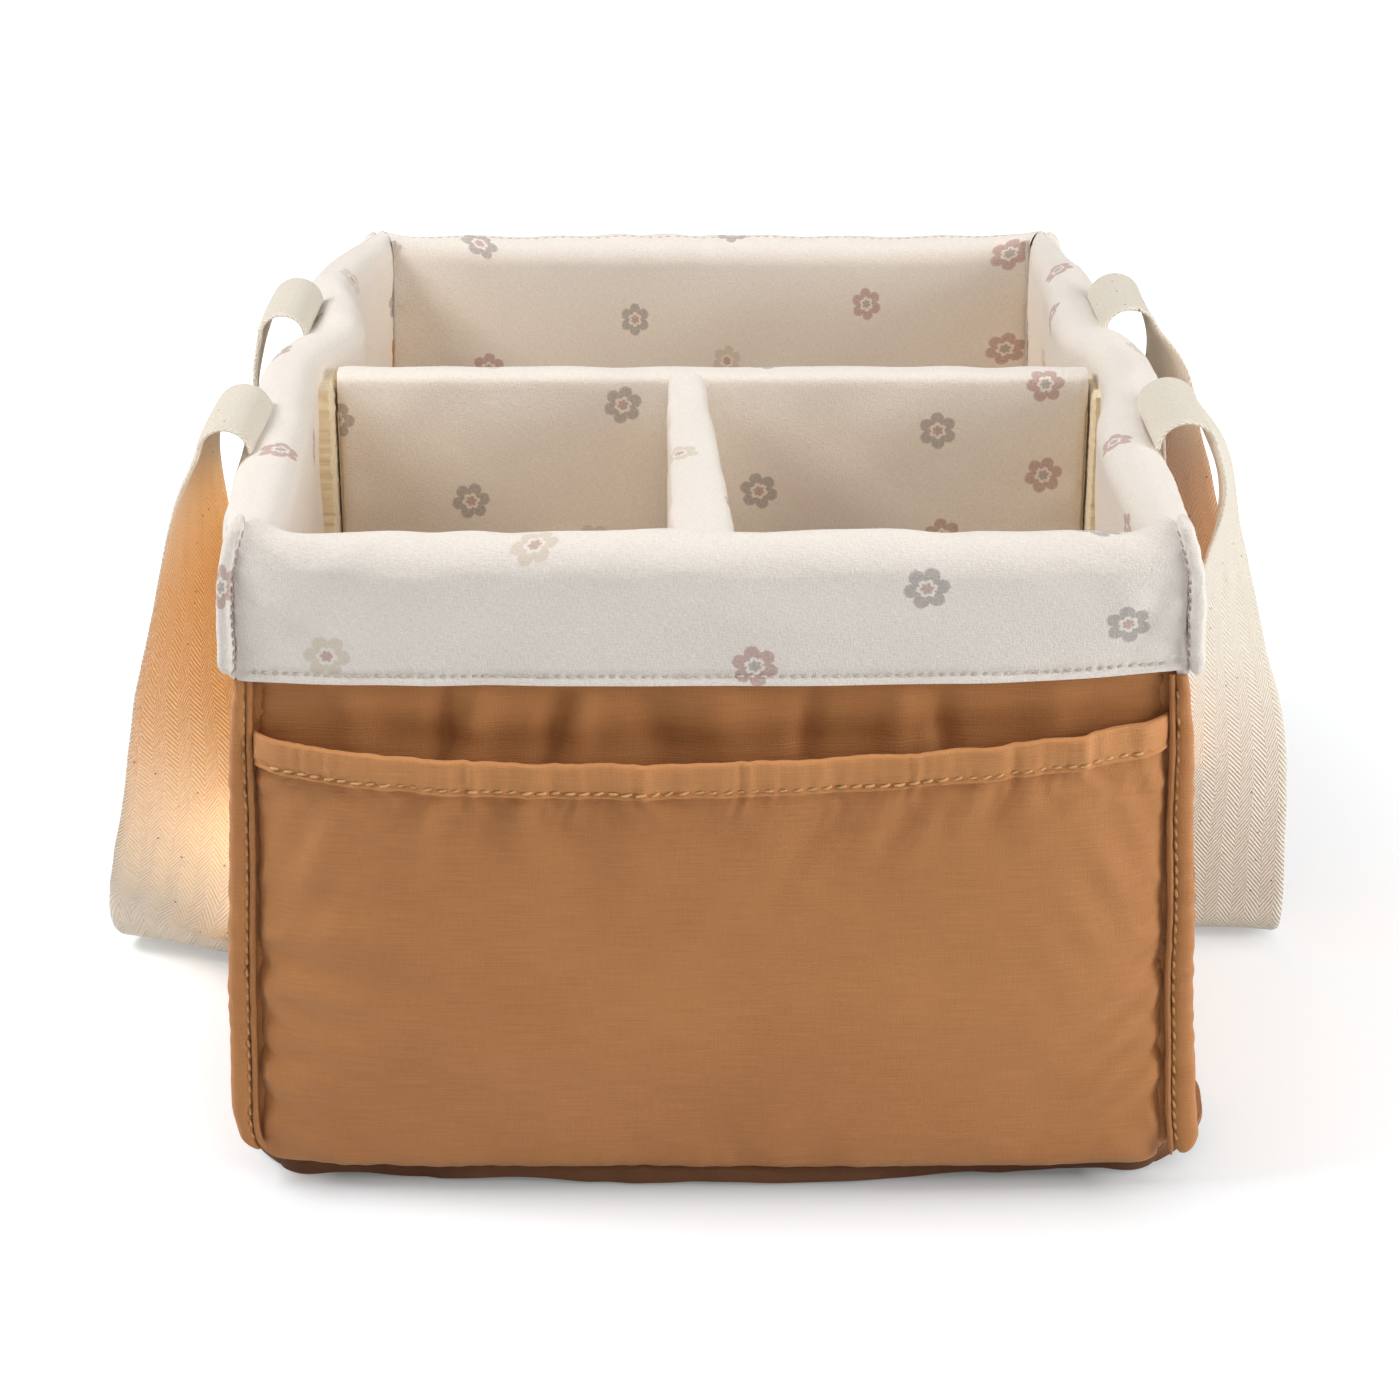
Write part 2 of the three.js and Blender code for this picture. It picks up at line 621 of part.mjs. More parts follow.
for (const { name, wall, sign, exitX, frontY, rearY, bottomX, bottomY, shares, bendTurn } of handles) {
  for (const [end, y] of [['front', frontY], ['rear', rearY]]) {
    const t = y / (halfDepth(rimZ) + cuffStandOff - mitreGap);
    const seatX = Math.abs(wall.place(t, rimZ, tabSeat).x);
    const overWidth = [-1, -0.5, 0, 0.5, 1].map((share) => y + (share * webbingWidth) / 2);
    const seatZ = Math.max(...overWidth.map((place) => rimSurface(wall, seatX, place))) + gap;
    const middleX = (exitX + seatX) / 2;
    const halfSpan = (exitX - seatX) / 2;
    const frames = Array.from({ length: tabSteps + 1 }, (_, k) => {
      const a = (k / tabSteps) * Math.PI;
      const startZ = hingeHeight + gap / 2 + (seatZ - hingeHeight - gap / 2) * ((1 - Math.cos(a)) / 2);
      const centre = new THREE.Vector3(sign * (middleX + halfSpan * Math.cos(a)), y, startZ + tabRise * Math.sin(a));
      const thick = new THREE.Vector3(sign * Math.cos(a), 0, Math.sin(a));
      return { centre, wide: new THREE.Vector3(0, 1, 0), thick };
    });
    add(`${name}_${end}_tab`, ribbonSolid(frames), webbing);
  }

  // Loop: down the front leg, round the bend and up the rear leg
  const bendDirection = new THREE.Vector3(
    -Math.cos(THREE.MathUtils.degToRad(bendTurn)),
    Math.sin(THREE.MathUtils.degToRad(bendTurn)),
    0,
  );
  const bendStart = new THREE.Vector3(sign * bottomX, bottomY, bendZ);
  const bendEnd = bendStart.clone().addScaledVector(bendDirection, 2 * bendRadius);
  const startZ = hingeHeight - gap / 2;
  const leg = (down, topY, foot, fromTurn) => {
    const out = along(shares, down, 1);
    const meet = along(shares, down, 3);
    const centre = new THREE.Vector3(
      sign * exitX + (foot.x - sign * exitX) * out,
      topY + (foot.y - topY) * meet,
      startZ + (foot.z - startZ) * down,
    );
    return { centre, turn: fromTurn + (bendTurn - fromTurn) * along(shares, down, 2) };
  };
  const path = [];
  for (let k = 0; k <= legSteps; k += 1) path.push(leg(k / legSteps, frontY, bendStart, 0));
  for (let k = 1; k < bendSteps; k += 1) {
    const a = (k / bendSteps) * Math.PI;
    const centre = bendStart.clone().addScaledVector(bendDirection, bendRadius * (1 - Math.cos(a)));
    centre.z -= bendRadius * Math.sin(a);
    path.push({ centre, turn: bendTurn });
  }
  for (let k = legSteps; k >= 0; k -= 1) path.push(leg(k / legSteps, rearY, bendEnd, rearTurn));
  const frames = path.map(({ centre, turn }, k) => {
    const wide = widthAt(turn);
    const last = path.length - 1;
    const before = path[Math.max(k - 1, 0)].centre;
    const after = path[Math.min(k + 1, last)].centre;
    const tangent = new THREE.Vector3().subVectors(after, before);
    if (k === 0 || k === last) tangent.set(0, 0, after.z - before.z);
    tangent.addScaledVector(wide, -tangent.dot(wide)).normalize();
    return { centre, wide, thick: new THREE.Vector3().crossVectors(wide, tangent) };
  });
  add(`${name}_handle`, ribbonSolid(frames), webbing);
}

export default caddy;
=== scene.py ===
import math

import bpy
import numpy as np
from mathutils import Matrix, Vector


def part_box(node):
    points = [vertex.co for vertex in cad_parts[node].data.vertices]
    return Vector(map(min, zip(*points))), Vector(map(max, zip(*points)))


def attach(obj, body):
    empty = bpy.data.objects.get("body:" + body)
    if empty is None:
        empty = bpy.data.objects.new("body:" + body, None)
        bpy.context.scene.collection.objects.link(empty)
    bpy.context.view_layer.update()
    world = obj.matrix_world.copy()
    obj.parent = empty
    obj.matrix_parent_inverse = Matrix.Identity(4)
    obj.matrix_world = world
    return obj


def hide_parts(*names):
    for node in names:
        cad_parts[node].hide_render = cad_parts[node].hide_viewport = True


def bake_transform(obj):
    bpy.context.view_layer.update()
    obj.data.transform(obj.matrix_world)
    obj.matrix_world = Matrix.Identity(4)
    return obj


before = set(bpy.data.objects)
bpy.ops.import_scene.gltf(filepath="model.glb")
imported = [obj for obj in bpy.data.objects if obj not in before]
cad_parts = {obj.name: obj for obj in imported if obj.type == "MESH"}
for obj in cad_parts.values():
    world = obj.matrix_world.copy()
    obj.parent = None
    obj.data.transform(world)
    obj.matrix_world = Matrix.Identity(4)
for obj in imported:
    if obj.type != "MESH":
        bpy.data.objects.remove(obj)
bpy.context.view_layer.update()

# The room: a plain pale floor, an even sky and soft lamps all round, of which the left one is the strongest. The
# camera stands in front of the pocket, a little above the rim. The floor is white to it and keeps the caddy's
# shadow, and painted shade darkens it round the base.


def node(tree, kind, inputs=None, **settings):
    """Adds one shader node: settings are its options, and inputs fill its sockets with a value or a link."""
    made = tree.nodes.new("ShaderNode" + kind)
    for key, value in settings.items():
        setattr(made, key, value)
    for key, value in (inputs or {}).items():
        if isinstance(value, bpy.types.NodeSocket):
            tree.links.new(value, made.inputs[key])
        else:
            made.inputs[key].default_value = value
    return made.outputs


def calc(tree, kind, *values):
    """A Math node: its operation over one, two or three values."""
    return node(tree, "Math", dict(enumerate(values)), operation=kind)[0]


def vector_calc(tree, kind, *values):
    """A VectorMath node that gives a vector."""
    return node(tree, "VectorMath", dict(enumerate(values)), operation=kind)[0]


def length_of(tree, vector):
    """The length of a vector."""
    return node(tree, "VectorMath", {0: vector}, operation="LENGTH")["Value"]


def noise(tree, place, scale, detail=2.0):
    """The grey value of a noise texture."""
    return node(tree, "TexNoise", {"Vector": place, "Scale": scale, "Detail": detail})["Fac"]


def bumps(tree, height, strength, distance):
    """A normal tilted by a height, as far in metres as distance."""
    return node(tree, "Bump", {"Height": height, "Strength": strength, "Distance": distance})[0]


def shown(tree):
    """1 for a ray that comes from the camera or from a shiny surface, 0 for one that only gathers light."""
    seen = node(tree, "LightPath")
    return calc(tree, "MAXIMUM", seen["Is Camera Ray"], seen["Is Glossy Ray"])


def linear(red, green, blue):
    """An 8-bit screen colour as the linear colour that a shader takes."""
    part = [c / 255 for c in (red, green, blue)]
    return tuple(c / 12.92 if c < 0.04045 else ((c + 0.055) / 1.055) ** 2.4 for c in part) + (1.0,)


def blank_material(name):
    """A material with its nodes cleared, its tree and its output."""
    material = bpy.data.materials.new(name)
    material.use_nodes = True
    material.node_tree.nodes.clear()
    return material, material.node_tree, material.node_tree.nodes.new("ShaderNodeOutputMaterial")


bpy.context.scene.view_settings.view_transform = "Standard"
world = bpy.data.worlds.new("sky")
bpy.context.scene.world = world
world.use_nodes = True
tree = world.node_tree
tree.nodes.clear()
direct = calc(tree, "MAXIMUM", shown(tree), node(tree, "LightPath")["Is Transmission Ray"])
sky = node(tree, "Background", {"Color": (1.0, 0.99, 0.98, 1.0), "Strength": 0.16})[0]
plain = node(tree, "Background", {"Color": (1.0, 1.0, 1.0, 1.0), "Strength": 1.0})[0]
mixed = node(tree, "MixShader", {0: direct, 1: sky, 2: plain})[0]
tree.links.new(mixed, tree.nodes.new("ShaderNodeOutputWorld").inputs["Surface"])


def lamp(name, place, aim, width, height, power, colour=(1.0, 1.0, 1.0)):
    """A rectangular lamp at a place, turned to aim at a point. Only its light shows, not the lamp."""
    made = bpy.data.objects.new(name, bpy.data.lights.new(name, "AREA"))
    made.data.shape = "RECTANGLE"
    made.data.size, made.data.size_y = width, height
    made.data.energy, made.data.color = power, colour
    made.location = place
    made.rotation_euler = (Vector(aim) - Vector(place)).to_track_quat("-Z", "Y").to_euler()
    made.visible_camera = False
    bpy.context.collection.objects.link(made)


lamp("front_softbox", (0.3, -0.95, 1.25), (0, 0, 0.1), 0.42, 0.36, 1.6, (1.0, 0.96, 0.915))
lamp("low_front_softbox", (0.1, -1.3, 0.62), (0, 0, 0.1), 0.5, 0.4, 0.65, (1.0, 0.96, 0.915))
lamp("top_softbox", (0.05, 0.05, 1.5), (0, 0, 0.1), 0.8, 0.7, 2.75)
lamp("left_softbox", (-0.95, -0.15, 1.05), (0, 0, 0.1), 0.5, 0.5, 11.9)
lamp("low_left_softbox", (-1.00, -0.05, 0.3), (-0.1, 0, 0.1), 0.4, 0.4, 0.6)
lamp("right_softbox", (0.95, -0.15, 1.05), (0, 0, 0.1), 0.5, 0.5, 2.4)
lamp("low_right_softbox", (1.15, -0.55, 0.5), (0.1, 0, 0.1), 0.5, 0.5, 6.6)
lamp("side_right_softbox", (1.05, -0.25, 0.22), (0.1, 0, 0.08), 0.4, 0.4, 1.6)
# The caramel walls throw warm light on the backs of the straps beside them.
lamp("left_wall_glow", (-0.1362, -0.05, 0.1), (-0.3, -0.07, 0.11), 0.11, 0.13, 0.023, (1.0, 0.41, 0.0))
lamp("left_floor_glow", (-0.1362, -0.05, 0.037), (-0.3, -0.06, 0.08), 0.1, 0.05, 0.024, (1.0, 0.76, 0.52))
lamp("right_wall_glow", (0.1362, -0.03, 0.115), (0.3, -0.06, 0.14), 0.09, 0.09, 0.022, (1.0, 0.38, 0.0))

floor_mesh = bpy.data.meshes.new("floor")
floor_mesh.from_pydata([(-8, -8, 0), (8, -8, 0), (8, 8, 0), (-8, 8, 0)], [], [(0, 1, 2, 3)])
floor = bpy.data.objects.new("floor", floor_mesh)
bpy.context.collection.objects.link(floor)
paper, tree, output = blank_material("white_paper")
place = node(tree, "TexCoord")["Object"]
bump = bumps(tree, noise(tree, place, 900.0), 0.05, 0.0002)
# Painted shade round the base: the paper's colour darkens towards a rectangle under the caddy, and the darkening
# falls with the distance past it: 10% a millimetre, and 2% a millimetre for its faint outer part.
under_base = (0.098, 0.1465, 0.0)
past = vector_calc(tree, "SUBTRACT", vector_calc(tree, "ABSOLUTE", place), under_base)
past = length_of(tree, vector_calc(tree, "MAXIMUM", past, (0.0, 0.0, 0.0)))
millimetres = calc(tree, "MULTIPLY", past, 1000.0)
near, wide = (calc(tree, "POWER", kept, millimetres) for kept in (0.9, 0.98))
painted_base_shade = calc(tree, "MULTIPLY_ADD", near, -0.6, 1.0)
painted_base_shade = calc(tree, "MULTIPLY_ADD", wide, -0.06, painted_base_shade)
# The paper's colour is painted a little blue, against the warm light that the caramel cloth and the glow lamps throw on
# it, so that its shade looks neutral.
white = node(tree, "VectorMath", {0: (0.79, 0.835, 0.87), "Scale": painted_base_shade}, operation="SCALE")[0]
diffuse = node(tree, "BsdfDiffuse", {"Color": white, "Normal": bump})[0]
# Near the caddy the paper shows only part of its glow, so that the lamps' own shadow is seen.
lift = {0: length_of(tree, place), 1: 0.15, 2: 0.55, 3: 0.33, 4: 1.0}
lift = node(tree, "MapRange", lift, interpolation_type="SMOOTHSTEP")[0]
lift = calc(tree, "MULTIPLY", lift, shown(tree))
# Painted shade: the paper's glow is dimmed round the base as well.
lift = calc(tree, "MULTIPLY", lift, painted_base_shade)
glow = node(tree, "Emission", {"Color": (1.0, 1.0, 1.0, 1.0), "Strength": lift})[0]
tree.links.new(node(tree, "AddShader", {0: diffuse, 1: glow})[0], output.inputs["Surface"])
floor_mesh.materials.append(paper)

focal_pixels, picture_pixels, look_down = 2852.0, 1400.0, 20.54
camera = bpy.data.objects.new("camera", bpy.data.cameras.new("camera"))
camera.data.sensor_width = 36.0
camera.data.lens = focal_pixels * camera.data.sensor_width / picture_pixels
camera.data.shift_x = -11.0 / picture_pixels
camera.data.shift_y = -0.12
camera.location = (0.0, -0.7984, 0.4266)
camera.rotation_euler = (math.radians(90 - look_down), 0.0, 0.0)
bpy.context.collection.objects.link(camera)
bpy.context.scene.camera = camera

# Bottom cloth: caramel cotton cut to the base, with its border turned up and sewn to the walls. The border is
# pressed flat by the walls' weight, so it ruckles. Its colour is painted darker than the walls' caramel, as painted
# shade under them, so it shows as a narrow dark band below the walls.

BODY_HEIGHT = 0.181
LEFT_WAVE = np.array([  # (place from front to back, share of a centimetre that the wall stands out there)
    (-1, 0), (-0.83, 0.15), (-0.5, 0.45), (0, 1), (0.12, 0.85), (0.32, 0.1), (0.43, 0.17), (0.67, 0.85),
    (0.87, 0.6), (1, 0),
])
RIGHT_WAVE = np.array([
    (-1, 0), (-0.8, 0), (-0.4, 0), (-0.17, 0.6), (0, 0.9), (0.12, 0.85), (0.3, 0.15), (0.42, 0), (0.5, 0.05),
    (0.73, 0.2), (1, 0),
])


def join(*parts):
    """Arrays of one shape joined along a new last axis."""
    return np.stack(parts, axis=-1)


def unit(value):
    """A value held between 0 and 1."""
    return np.clip(value, 0, 1)


def through(rows, at, column=1):
    """A cubic curve through rows of (place, value): between two rows it leaves and arrives along the slope that
    joins the rows on either side."""
    place, value = rows[:, 0], rows[:, column]
    slope = np.empty_like(value)
    slope[1:-1] = (value[2:] - value[:-2]) / (place[2:] - place[:-2])
    slope[0] = (value[1] - value[0]) / (place[1] - place[0])
    slope[-1] = (value[-1] - value[-2]) / (place[-1] - place[-2])
    i = np.clip(np.searchsorted(place, at, side="right") - 1, 0, len(place) - 2)
    span = place[i + 1] - place[i]
    s = (at - place[i]) / span
    level = value[i] * (1 - s) ** 2 * (1 + 2 * s) + value[i + 1] * s**2 * (3 - 2 * s)
    return level + span * s * (1 - s) * ((1 - s) * slope[i] - s * slope[i + 1])


def half_width(z):
    """Half the body's width: it narrows evenly from the base to the rim."""
    return 0.12 - 0.0065 * z / BODY_HEIGHT


def half_depth(z):
    """Half the body's depth: it narrows evenly from the base to the rim."""
    return 0.15 - 0.003 * z / BODY_HEIGHT


def puff(t):
    """How full a wall is along its length: full in the middle, nothing at the corners where t is -1 or 1."""
    return 1 - np.abs(t) ** 6


def belly(z):
    """Half a sine wave over the body's height."""
    return np.sin(np.pi * unit(z / BODY_HEIGHT))


def thickness(t, z):
    """A wall's thickness: thin at the corners, with the foam's crown between them."""
    return 0.006 + puff(t) * (0.008 + 0.003 * belly(z))


def wall(side, t, z, depth):
    """A point of a wall at t along it, at height z, and depth in from its surface. The surface is the body's plane
    plus a crown, which is puff times a bow over the height, and on the two long sides a wave that grows upward."""
    t, z, depth = np.broadcast_arrays(t, z, depth)
    if side in ("left", "right"):
        sign = -1.0 if side == "left" else 1.0
        wave = through(LEFT_WAVE if side == "left" else RIGHT_WAVE, t) * (0.3 + 0.7 * (z / BODY_HEIGHT) ** 2)
        out = half_width(z) + puff(t) * (0.006 + 0.005 * belly(z)) + 0.01 * wave - depth
        return join(sign * out, t * (half_depth(z) - depth - 0.00025), z)
    sign = -1.0 if side == "front" else 1.0
    out = half_depth(z) + puff(t) * (0.002 + 0.002 * belly(z)) - depth
    return join(t * (half_width(z) - depth - 0.00025), sign * out, z)


def ripples(a, b, period, seed, spread=0.5, waves=7):
    """Soft irregular folds that run along b: a sum of sine waves across a, each turned a little, each with its own
    length and phase, and pushed sideways by a slower wave. About -1 to 1."""
    rng = np.random.default_rng(seed)
    total = np.zeros(np.broadcast(a, b).shape)
    push = 0.35 * period * np.sin(2 * np.pi * (b / (period * 3.1) + a / (period * 6.7)) + rng.uniform(0, 6.28))
    for _ in range(waves):
        turn = rng.normal(0, spread)
        length = period * rng.uniform(0.7, 1.6)
        way = (a + push) * np.cos(turn) + b * np.sin(turn)
        total += rng.uniform(0.5, 1.0) * np.sin(2 * np.pi * way / length + rng.uniform(0, 6.28))
    return total / (0.55 * waves)


def facing(points):
    """Unit normals of a grid of points: the cross product of its two directions."""
    along_i = np.gradient(points, axis=0)
    along_j = np.gradient(points, axis=1)
    normal = np.cross(along_i, along_j)
    return normal / np.maximum(np.linalg.norm(normal, axis=-1, keepdims=True), 1e-12)


def piece(name, points, faces, uv, material, body, stands_for=(), slot=None, sharp=50):
    """A mesh object from points, four-cornered faces and a flat place in metres for each point. Faces are turned so
    that the enclosed volume is positive, the mesh is validated, and it rides on a body."""
    corner = points[faces]
    volume = np.einsum("ij,ij->", corner[:, 0], np.cross(corner[:, 1], corner[:, 2]))
    volume += np.einsum("ij,ij->", corner[:, 0], np.cross(corner[:, 2], corner[:, 3]))
    if volume < 0:
        faces = faces[:, ::-1]
    mesh = bpy.data.meshes.new(name)
    mesh.from_pydata(points, [], faces)
    layer = mesh.uv_layers.new(name="cloth")
    layer.data.foreach_set("uv", uv[faces.ravel()].astype(np.float32).ravel())
    mesh.validate()
    mesh.shade_smooth()
    mesh.set_sharp_from_angle(angle=math.radians(sharp))
    mesh.materials.append(material)
    made = bpy.data.objects.new(name, mesh)
    bpy.context.collection.objects.link(made)
    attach(made, body)
    if stands_for:
        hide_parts(*stands_for)
    return made


def grid_faces(count_i, count_j, start=0, closed=False):
    """Four-cornered faces over a grid of count_i by count_j points; closed joins its last row to its first."""
    index = start + np.arange(count_i * count_j).reshape(count_i, count_j)
    if closed:
        index = np.vstack([index, index[:1]])
    return join(index[:-1, :-1], index[1:, :-1], index[1:, 1:], index[:-1, 1:]).reshape(-1, 4)


def two_sided(name, outer, inner, uv, material, body, **rest):
    """A closed piece of cloth or padding between an outer and an inner grid of points, joined round their edges."""
    count_i, count_j = outer.shape[:2]
    back = count_i * count_j
    index = np.arange(back).reshape(count_i, count_j)
    edge = np.concatenate([index[:-1, 0], index[-1, :-1], index[:0:-1, -1], index[0, :0:-1]])
    after = np.roll(edge, -1)
    rim = join(edge, edge + back, after + back, after)
    faces = np.concatenate([grid_faces(count_i, count_j), grid_faces(count_i, count_j, back)[:, ::-1], rim])
    points = np.concatenate([outer.reshape(-1, 3), inner.reshape(-1, 3)])
    return piece(name, points, faces, np.tile(uv.reshape(-1, 2), (2, 1)), material, body, **rest)


def round_piece(name, rings, uv, material, body, **rest):
    """A closed piece from a row of rings of points, each ring joined to the next."""
    points, flat = (grid.transpose(1, 0, 2).reshape(-1, grid.shape[2]) for grid in (rings, uv))
    faces = grid_faces(rings.shape[1], rings.shape[0], closed=True)
    return piece(name, points, faces, flat, material, body, **rest)


def ramp(tree, value, low, high, to_low=0.0, to_high=1.0):
    """A value carried from one range to another and held at its ends."""
    return node(tree, "MapRange", {0: value, 1: low, 2: high, 3: to_low, 4: to_high})[0]


def mix(tree, share, low, high, way="MIX"):
    """Two colours mixed by a share."""
    return node(tree, "Mix", {0: share, 6: low, 7: high}, data_type="RGBA", blend_type=way)[2]


def streaks(tree, flat, across, along, detail):
    """Noise with a scale of its own in each direction of the cloth."""
    return noise(tree, node(tree, "Mapping", {"Vector": flat, "Scale": (across, along, 1.0)})[0], 1.0, detail)


def finish(tree, output, values):
    """One principled shader as a material's surface."""
    tree.links.new(node(tree, "BsdfPrincipled", values)[0], output.inputs["Surface"])


def satin_cotton(name, colour, dark, foot=None):
    """Caramel cotton satin: a fine weave with thicker threads running across, a soft sheen, and colour that wanders
    a little from thread to thread. A foot colour, painted shade near the floor, takes over in the lowest centimetre."""
    material, tree, output = blank_material(name)
    flat = node(tree, "UVMap", uv_map="cloth")[0]
    slub = streaks(tree, flat, 70.0, 2600.0, 3.0)
    warp = streaks(tree, flat, 2300.0, 160.0, 2.0)
    cloud = noise(tree, flat, 22.0, 3.0)
    threads = calc(tree, "ADD", ramp(tree, warp, 0, 1, 0.3, 0.7), slub)
    blend = calc(tree, "MULTIPLY_ADD", threads, 0.42, 0.08)
    blend = calc(tree, "MULTIPLY_ADD", cloud, 0.35, blend)
    tone = ramp(tree, blend, 0.42, 0.92, 0.0, 1.0)
    paint = mix(tree, tone, dark, colour)
    # Painted shade: towards the floor the colour turns to the darker foot colour.
    if foot:
        height = node(tree, "SeparateXYZ", {0: node(tree, "TexCoord")["Object"]})["Z"]
        above = ramp(tree, height, 0.0035, 0.01, 0.0, 1.0)
        paint = mix(tree, above, foot, paint)
    relief = calc(tree, "ADD", threads, streaks(tree, flat, 3000.0, 3000.0, 1.0))
    bump = bumps(tree, relief, 0.8, 0.00022)
    finish(tree, output, {
        "Base Color": paint, "Roughness": 0.62, "Normal": bump, "Sheen Weight": 0.25, "Sheen Roughness": 0.4,
        "Sheen Tint": (1.0, 0.86, 0.7, 1.0), "Specular IOR Level": 0.35,
    })
    return material


caramel = satin_cotton("caramel_satin", linear(205, 141, 85), linear(171, 111, 60))
# The bottom cloth is the walls' caramel painted darker, as painted shade under the walls, and darker still at the
# floor.
painted_shade_satin = satin_cotton("bottom_satin_painted_shade", linear(176, 120, 72), linear(148, 97, 56), linear(104, 65, 35))

# The outline runs once round the body: the right wall, the back, the left wall and the front.
around = np.linspace(-1, 1, 260)
outline = [("right", around), ("back", -around), ("left", -around), ("front", around)]


def ring(z, depth):
    """Points once round the body at one height and depth, from the four walls' surfaces."""
    return np.concatenate([wall(side, t, np.full_like(t, z), np.full_like(t, depth)) for side, t in outline])


border = [(0.0, 0.012), (0.0, 0.005), (0.0003, 0.0016), (0.001, 0.0000), (0.0026, 0.0002), (0.0044, 0.0012),
          (0.0062, 0.0026), (0.0072, 0.006)]
FOOT_LINE = np.array([  # (place along the front, how far the border stands out there)
    (-0.125, -0.0016), (-0.105, -0.0026), (-0.076, -0.0028), (-0.0715, -0.0018), (-0.03, 0.0002), (0.0, 0.0008),
    (0.03, 0.0004), (0.066, -0.0038), (0.098, -0.005), (0.117, -0.0014), (0.13, -0.001),
])
share = np.array([0, 0.4, 0.9, 1.0, 1.0, 0.8, 0.4, 0])[:, None]
rings = np.stack([ring(z, depth) for z, depth in border])
length = np.cumsum(np.linalg.norm(np.diff(rings[3], axis=0, prepend=rings[3][-1:]), axis=1))
outward = rings[3] * (1, 1, 0) / np.linalg.norm(rings[3][:, :2], axis=1, keepdims=True)
ruckle = 0.5 * ripples(length, 0 * length, 0.045, 3) + 0.5 * ripples(length, 0 * length, 0.014, 4)
rings += (share * 0.0009 * ruckle)[..., None] * outward[None]
# Each corner is rounded: a point past both of its corner's inner lines is drawn back to a circle round their meeting.
lows, deep = (np.array(column)[:, None] for column in zip(*border))
at_x, at_y = rings[..., 0].copy(), rings[..., 1].copy()
radius = np.where(at_y > 0, 0.012, np.where(at_x > 0, 0.014, 0.0165))
u = np.abs(at_x) - (half_width(lows) - deep - radius)
v = np.abs(at_y) - (half_depth(lows) - deep - radius)
back = np.where((u > 0) & (v > 0), np.maximum(u, v) / np.maximum(np.hypot(u, v), 1e-9), 1.0) - 1.0
rings[..., 0] += np.sign(at_x) * u * back
rings[..., 1] += np.sign(at_y) * v * back
front_share = share * unit((-at_y - 0.12) / 0.02)
rings[..., 1] -= front_share * through(FOOT_LINE, np.clip(at_x, -0.124, 0.129))
# At the right front corner a pleat of the border stands out.
pleat = np.exp(-(((rings[..., 1] + 0.1235) / 0.0195) ** 4)) * unit((at_x - 0.09) / 0.025)
rings[..., 0] += share * 0.0098 * pleat
rings[2:7, :, 2] += share[2:7] * (0.0008 * ripples(length, 0 * length, 0.03, 9) + 0.0068 * pleat[2:7])
rings[..., 2] = np.maximum(rings[..., 2], 0.0)
under = np.stack([rings[0] * k for k in (0.0, 0.35, 0.7, 0.95)])
over = np.stack([rings[-1] * (k, k, 1) for k in (0.9, 0.5, 0.0)])
over[..., 2] = 0.0014
tray = np.concatenate([under, rings, over])
uv = np.stack(np.broadcast_arrays(length[None, :], np.arange(len(tray))[:, None] * 0.002), axis=-1)
bottom = round_piece(
    "bottom_cloth", tray, uv, painted_shade_satin, "body", stands_for=("bottom_panel",), slot="outer_cotton_edge",
)

# Base board: the stiff grey sheet between the bottom cloth and the floor lining, cut a little smaller than the floor
# and clipped at its corners so that it does not wear through the cloth.
board, tree, output = blank_material("grey_board")
place = node(tree, "TexCoord")["Object"]
fibre = noise(tree, place, 600.0, 4.0)
paint = mix(tree, fibre, linear(150, 144, 136), linear(178, 172, 162))
bump = bumps(tree, fibre, 0.3, 0.0002)
finish(tree, output, {"Base Color": paint, "Roughness": 0.9, "Normal": bump})


def grid_of(a, b):
    """Two grids from two rows of values: the first varies down the rows, the second along them."""
    return np.meshgrid(a, b, indexing="ij")


u, v = grid_of(np.linspace(-1, 1, 25), np.linspace(-1, 1, 33))
cut = 1 - 0.045 * np.abs(u * v) ** 14
plate = join(0.113 * u * cut, 0.141 * v * cut, np.full_like(u, 0.0058))
two_sided("base_board_sheet", plate, plate - (0, 0, 0.004), plate[..., :2], board, "body", stands_for=("base_board",))

# Walls: a foam board in each, covered with caramel cotton that is drawn in and puckered where the corner seams
# are sewn. Soft upright folds lie under the cuff, where the cover is a little loose.


def puckers(edge, run, seed):
    """Small gathers beside a seam: ripples along the seam that fade within a few millimetres of it."""
    short = ripples(run, edge, 0.0056, seed, spread=0.25)
    long = ripples(run, edge, 0.019, seed + 50, spread=0.5)
    return 0.00042 * short * np.exp(-edge / 0.005) + 0.0007 * long * np.exp(-edge / 0.016)


def folds(a, b, rows):
    """Single soft folds: each row gives a middle, a turn in degrees, a length, a width and a height, all but the turn
    in millimetres. A fold is a bell curve across its width times a bell curve along its length."""
    total = np.zeros_like(a)
    for row in rows:
        at_a, at_b, angle, long, wide, high = np.array(row) / (1000, 1000, 180 / math.pi, 1000, 1000, 1000)
        run = (a - at_a) * math.cos(angle) + (b - at_b) * math.sin(angle)
        off = (b - at_b) * math.cos(angle) - (a - at_a) * math.sin(angle)
        total += high * np.exp(-((run / long) ** 2) - (off / wide) ** 2)
    return total


